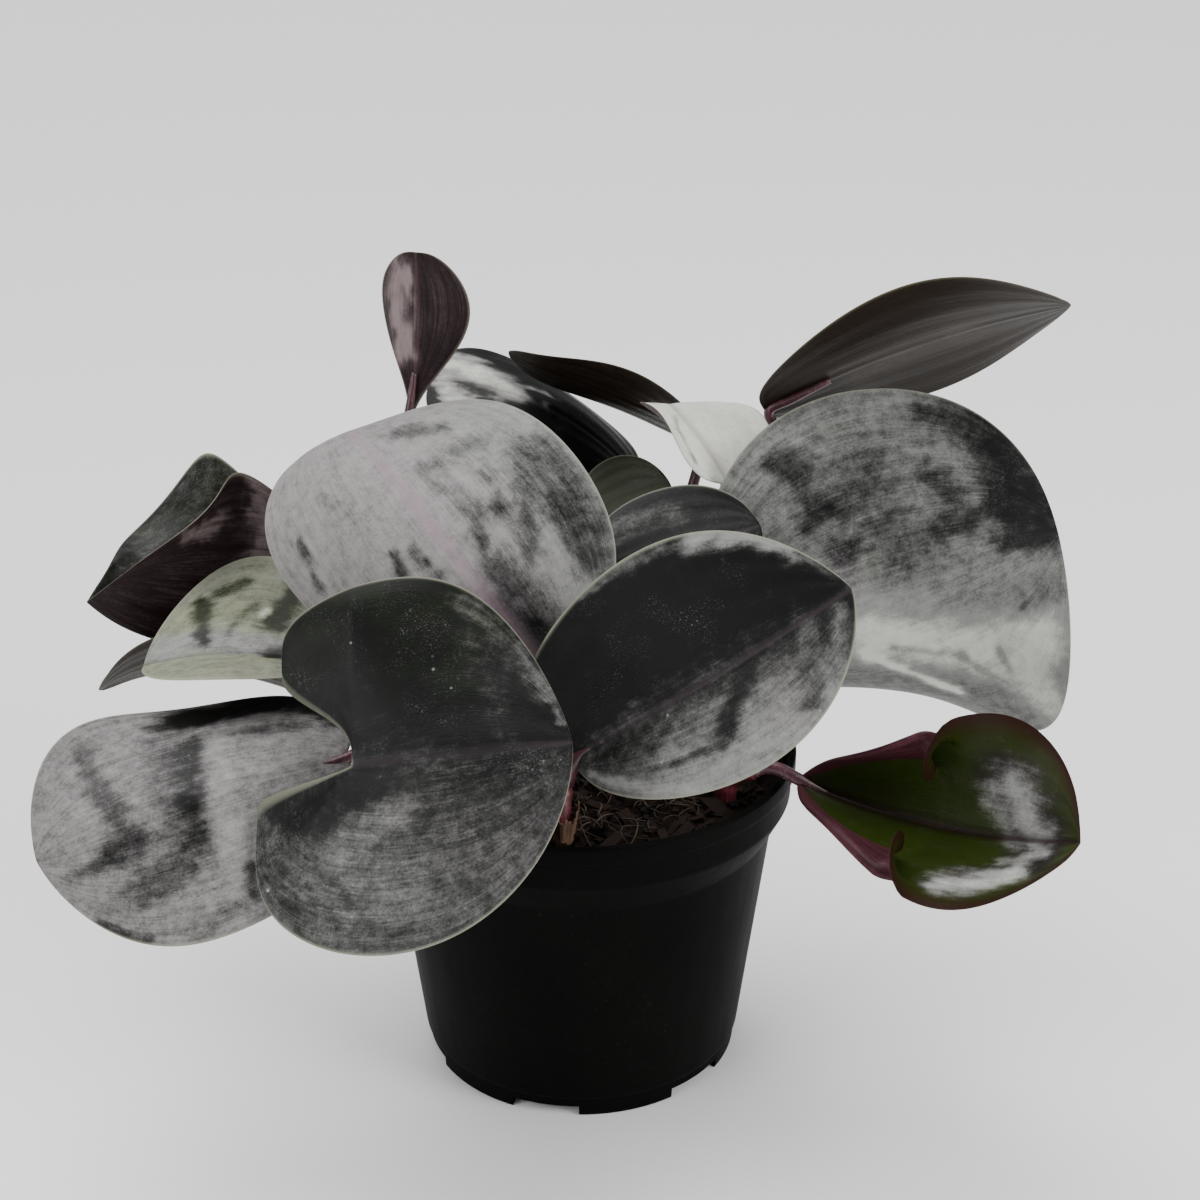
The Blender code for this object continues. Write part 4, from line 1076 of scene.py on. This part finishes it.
# The silvery leaf that crowns the plant, its left half hanging down
make_leaf(
    "leaf_crown", silvery_pink_rib, burgundy_under,
    stem="stem_front", base=(-9, -29, 130), tip=(-64, 25, 176), facing=(-0.06, -0.65, 0.76),
    width=89, arch=60, hook=30, sweep=18, twist=6, curl_left=(-50, -75, -50), curl_right=(-6, -16, -6),
    round_base=0.53, round_tip=0.61, share=(1.07, 1),
    silver=0.92, blush=0.75, rib=(2.6, 1.2, 0.55), rim=(0.6, 0.75),
    strokes=(
        (535, 450, 605, 555, 26, 0.46), (560, 500, 590, 560, 15, 0.32), (515, 595, 545, 650, 26, 0.24),
        (500, 560, 512, 600, 14, 0.38), (468, 500, 500, 585, 8, 0.46), (485, 480, 500, 505, 12, 0.42),
        (526, 470, 532, 600, 13, 0.5), (515, 440, 520, 480, 8, 0.55), (395, 432, 440, 428, 12, 0.5),
        (430, 465, 475, 442, 13, 0.62), (440, 480, 470, 500, 9, 0.7), (300, 540, 318, 590, 6, 0.52),
        (392, 555, 402, 578, 5, 0.34), (412, 548, 440, 574, 5, 0.4), (330, 500, 350, 520, 14, 0.78),
        (460, 470, 490, 492, 10, 1.05), (545, 565, 570, 585, 13, 0.92),
    ),
    blushes=(
        (500, 420, 600, 560, 70, 0.1), (370, 470, 400, 520, 24, 1.4),
    ),
)

# The largest leaf, on the right, with its lower half drooping
make_leaf(
    "leaf_right_large", silvery, burgundy_under,
    stem="stem_right", base=(40, 14, 118), tip=(128, 0, 156), facing=(0.16, -0.86, 0.49),
    width=102, arch=5, hook=-16, twist=-36, curl_left=(0, -14, 0), curl_right=(-126, -84, -10),
    belly=0.96, round_base=0.8, round_tip=0.97, share=(1.12, 1.23),
    silver=0.70, blush=0.05, rib=(0.8, 0.5, 0.35), rim=(0.55, 0.7),
    # Its strokes of 1 and over, along the drooping lower half, are painted light: they make that half
    # near-white with bright crinkles, where the lamps leave it dim.
    strokes=(
        (985, 425, 1035, 520, 27, 0.12), (920, 410, 975, 424, 14, 0.36), (1000, 500, 1045, 530, 20, 0.1),
        (930, 478, 950, 494, 14, 0.34), (935, 526, 965, 522, 15, 0.2), (1000, 545, 1022, 535, 9, 0.22),
        (772, 455, 802, 478, 17, 0.3), (810, 512, 850, 508, 17, 0.26), (840, 548, 872, 540, 13, 0.34),
        (860, 470, 905, 550, 32, 0.5), (735, 475, 800, 432, 9, 0.72), (752, 505, 800, 560, 8, 0.66),
        (830, 425, 900, 400, 8, 0.78), (880, 592, 1045, 560, 12, 0.75), (870, 635, 1040, 640, 32, 1.75),
        (1010, 650, 1045, 700, 28, 1.6), (1020, 605, 1045, 590, 10, 0.62), (865, 655, 960, 692, 7, 2),
        (935, 640, 1015, 692, 4, 1.2), (895, 648, 965, 655, 4, 1), (1000, 650, 1010, 670, 5, 1.1),
    ),
    blushes=(
        (845, 560, 850, 580, 12, 1.2),
    ),
)

# The young leaf low on the right, still rolled into a funnel at its base
make_leaf(
    "leaf_low_right_funnel", young_green, wine_under,
    stem="stem_low_right", base=(58, -29, 97), tip=(120, -83, 109), facing=(0.09, -0.76, 0.65),
    width=64, hook=-12, sweep=-19, twist=-9, fold=(23, 23), curl_left=(200, 70, -4), curl_right=(200, 40, 24),
    belly=0.6, round_tip=1.0, hem=(160, 160), hem_end=0.47,
    silver=0.05, blush=-1.0, mauve=0.42, rib=(2.4, 0.8, 0.9), rim=(5.0, 0.95),
    # Its strokes are painted highlights, the glossy white patches on the green of the funnel, and its blushes
    # tint them.
    strokes=(
        (1012, 785, 1035, 835, 21, 0.86), (990, 800, 1010, 835, 12, 0.66), (945, 882, 1010, 874, 18, 1.25),
        (1000, 862, 1040, 852, 9, 0.72), (930, 872, 960, 868, 8, 0.5),
    ),
    blushes=(
        (1012, 785, 1035, 835, 30, 0.3), (945, 880, 1030, 862, 22, 0.2),
    ),
)

# The leaf that points up and away on the right, seen from below
make_leaf(
    "leaf_top_right", silvery, brown_under,
    stem="stem_back", height=0.74, via=((50, 44, 140), (63, 46, 161)), base=(52, 45, 176), tip=(135, 38, 208),
    facing=(-0.26, 0.63, 0.73), width=62, arch=18, twist=12, curl_left=(0, -17, 8), curl_right=(0, 22, 0),
    belly=0.74, round_base=0.55, round_tip=1.38,
    silver=0.5, blush=0.1, mauve=0.02,
    # Its stroke on the underside is a painted sheen across the middle of the blade.
    under_strokes=(
        (860, 375, 960, 335, 26, 0.32),
    ),
)

# The small upright leaf at the top, shaped like a spoon
make_leaf(
    "leaf_top_spoon", silvery, burgundy_under,
    stem="stem_back_left", via=((-46, 44, 138),), base=(-51, 56, 160), tip=(-46, 62, 217),
    facing=(0.32, 0.93, 0.20), width=29, arch=25, hook=4, sweep=8, fold=(0, 6), curl_right=(0, 28, 0),
    belly=0.47, round_base=2.8, round_tip=0.75, share=(1.07, 0.94),
    grid=SMALL_GRID,
    silver=0.5, blush=0.1, mauve=0.20,
    # Its stroke on the underside paints the left half light and pink: painted light on the side that light
    # falls on.
    under_strokes=(
        (400, 275, 403, 350, 15, 1),
    ),
)

# The narrow leaf that arches over at the back
make_leaf(
    "leaf_back_arched", silvery, brown_under,
    stem="stem_back", height=0.88, via=((32, 56, 144),), base=(38, 72, 158), tip=(-21, 81, 182),
    facing=(0.03, 0.63, 0.78), width=42, arch=27, hook=-11, sweep=-6, fold=(-10, 0), curl_left=(0, 13, -22),
    curl_right=(6, 13, -10), round_base=0.8, round_tip=1.25,
    grid=SMALL_GRID,
    silver=0.5, blush=0.1, mauve=0.16,
)

# The pale leaf behind the largest one
make_leaf(
    "leaf_back_pale", silvery_pink_rib, burgundy_under,
    stem="stem_back", base=(42, 32, 158), tip=(26, 58, 173), facing=(0.40, -0.64, 0.66),
    width=45, arch=20, fold=(18, 0), curl_left=(8, 40, 0), curl_right=(0, 15, 0), belly=0.88, round_base=0.8,
    grid=SMALL_GRID,
    silver=1.75, blush=0.2, mauve=0.8, rib=(1.6, 1.0, 0.5), rim=(0.6, 0.5),
    strokes=(
        (675, 415, 695, 460, 4, 1.2),
    ),
)

# The leaf behind the crown, silvery at its tip, where it is also painted light
make_leaf(
    "leaf_back_middle", silvery, burgundy_under,
    stem="stem_back", height=0.64, via=((12, 58, 130),), base=(16, 79, 144), tip=(-46, 96, 168),
    facing=(0.29, -0.32, 0.90), width=51, arch=43, sweep=-25, twist=-16, fold=(6, 0),
    curl_left=(-13, -18, -20), curl_right=(-25, -37, -7), round_base=0.8, round_tip=0.7,
    # Its dark base value is painted shade on the blade that faces away, and its strokes over 1 paint the top
    # of its arch bright: painted light over its silver streaks.
    silver=-0.35, blush=0.3, mauve=0.1, rib=(0.8, 0.5, 0.5), rim=(0.5, 0.5),
    strokes=(
        (450, 362, 510, 390, 25, 1.5), (440, 380, 470, 408, 14, 1.35), (520, 385, 560, 398, 6, 0.8),
        (500, 400, 525, 420, 4, 0.55), (545, 402, 548, 410, 6, 0.6),
    ),
)

# The leaf on the left that is folded up into a trough, so that its near half shows its underside
make_leaf(
    "leaf_left_cupped", silvery, burgundy_under,
    stem="stem_back_left", height=0.9, base=(-66, 44, 114), tip=(-138.5, 20, 128), facing=(-0.10, 0.20, 0.97),
    width=96, arch=-48, hook=-25, fold=(64, 44), curl_left=(10, 10, 0), curl_right=(10, 20, -40),
    round_base=0.7, round_tip=0.45, share=(1.18, 1.32),
    silver=0.28, blush=-0.3, mauve=0.16, rib=(0.8, 0.5, 0.4), rim=(0.8, 0.9),
    under_strokes=(
        (262, 484, 205, 500, 16, 0.75), (222, 520, 192, 538, 10, 0.6),
    ),
)

# The pale green leaf in front of the cupped one
make_leaf(
    "leaf_left_pale", silvery, burgundy_under,
    stem="stem_left", height=0.72, via=((-54, -22, 118),), base=(-68, -16, 126), tip=(-117, -12, 123),
    facing=(0, -0.08, 1), width=72, arch=28, sweep=-6, fold=(12, 10), curl_left=(-20, -5, -15),
    curl_right=(12, 9, -6), belly=0.96, round_base=0.8, round_tip=1.18, share=(0.54, 1.09),
    silver=0.86, blush=-0.7, mauve=0.4, rib=(0.8, 0.5, 0.5), rim=(1.6, 0.8),
    strokes=(
        (215, 595, 245, 580, 8, 0.4), (200, 600, 203, 640, 9, 0.18), (295, 592, 272, 622, 13, 0.1),
        (272, 655, 300, 645, 12, 0.12), (230, 628, 256, 602, 7, 0.5), (262, 613, 268, 609, 5, 1.5),
        (170, 640, 190, 655, 10, 0.9),
    ),
    blushes=(
        (160, 650, 280, 650, 14, 0.3),
    ),
)

# The narrow arched leaf underneath the pale green one
make_leaf(
    "leaf_left_under", silvery, brown_under,
    stem="stem_back_left", height=0.6, via=((-57, 19, 101),), base=(-66, 21, 95), tip=(-134, 6, 108),
    facing=(0, 0.7, 0.7), width=52, arch=45, hook=25, sweep=-8, curl_left=(-10, 0, 30),
    curl_right=(0, 20, 0), share=(0.9, 0.5), round_base=0.7, round_tip=0.8,
    grid=SMALL_GRID,
    silver=0.3, blush=-0.2, mauve=0.22,
)

# Two small leaves in the middle of the plant
make_leaf(
    "leaf_back_small", silvery, brown_under,
    stem="stem_middle", height=0.9, base=(-1, 34, 145), tip=(26, 36, 156), facing=(0, -0.3, 0.9), width=44,
    grid=SMALL_GRID,
    silver=-0.02, blush=-0.9, mauve=0.2, rib=(0.8, 0.5, 0.5), rim=(0.5, 0.5),
)

make_leaf(
    "leaf_centre_small", silvery, burgundy_under,
    stem="stem_middle", base=(5, -1, 146), tip=(49, 8, 155), facing=(-0.02, -0.55, 0.84),
    width=42, curl_left=(0, -6, 0), round_base=0.7,
    grid=SMALL_GRID,
    silver=0.0, blush=0.1, mauve=0.2, rib=(0.8, 0.5, 0.5), rim=(0.5, 0.7),
    strokes=(
        (605, 532, 672, 512, 16, 0.46), (605, 515, 660, 502, 4, 0.2), (610, 540, 680, 522, 4, 0.3),
    ),
)
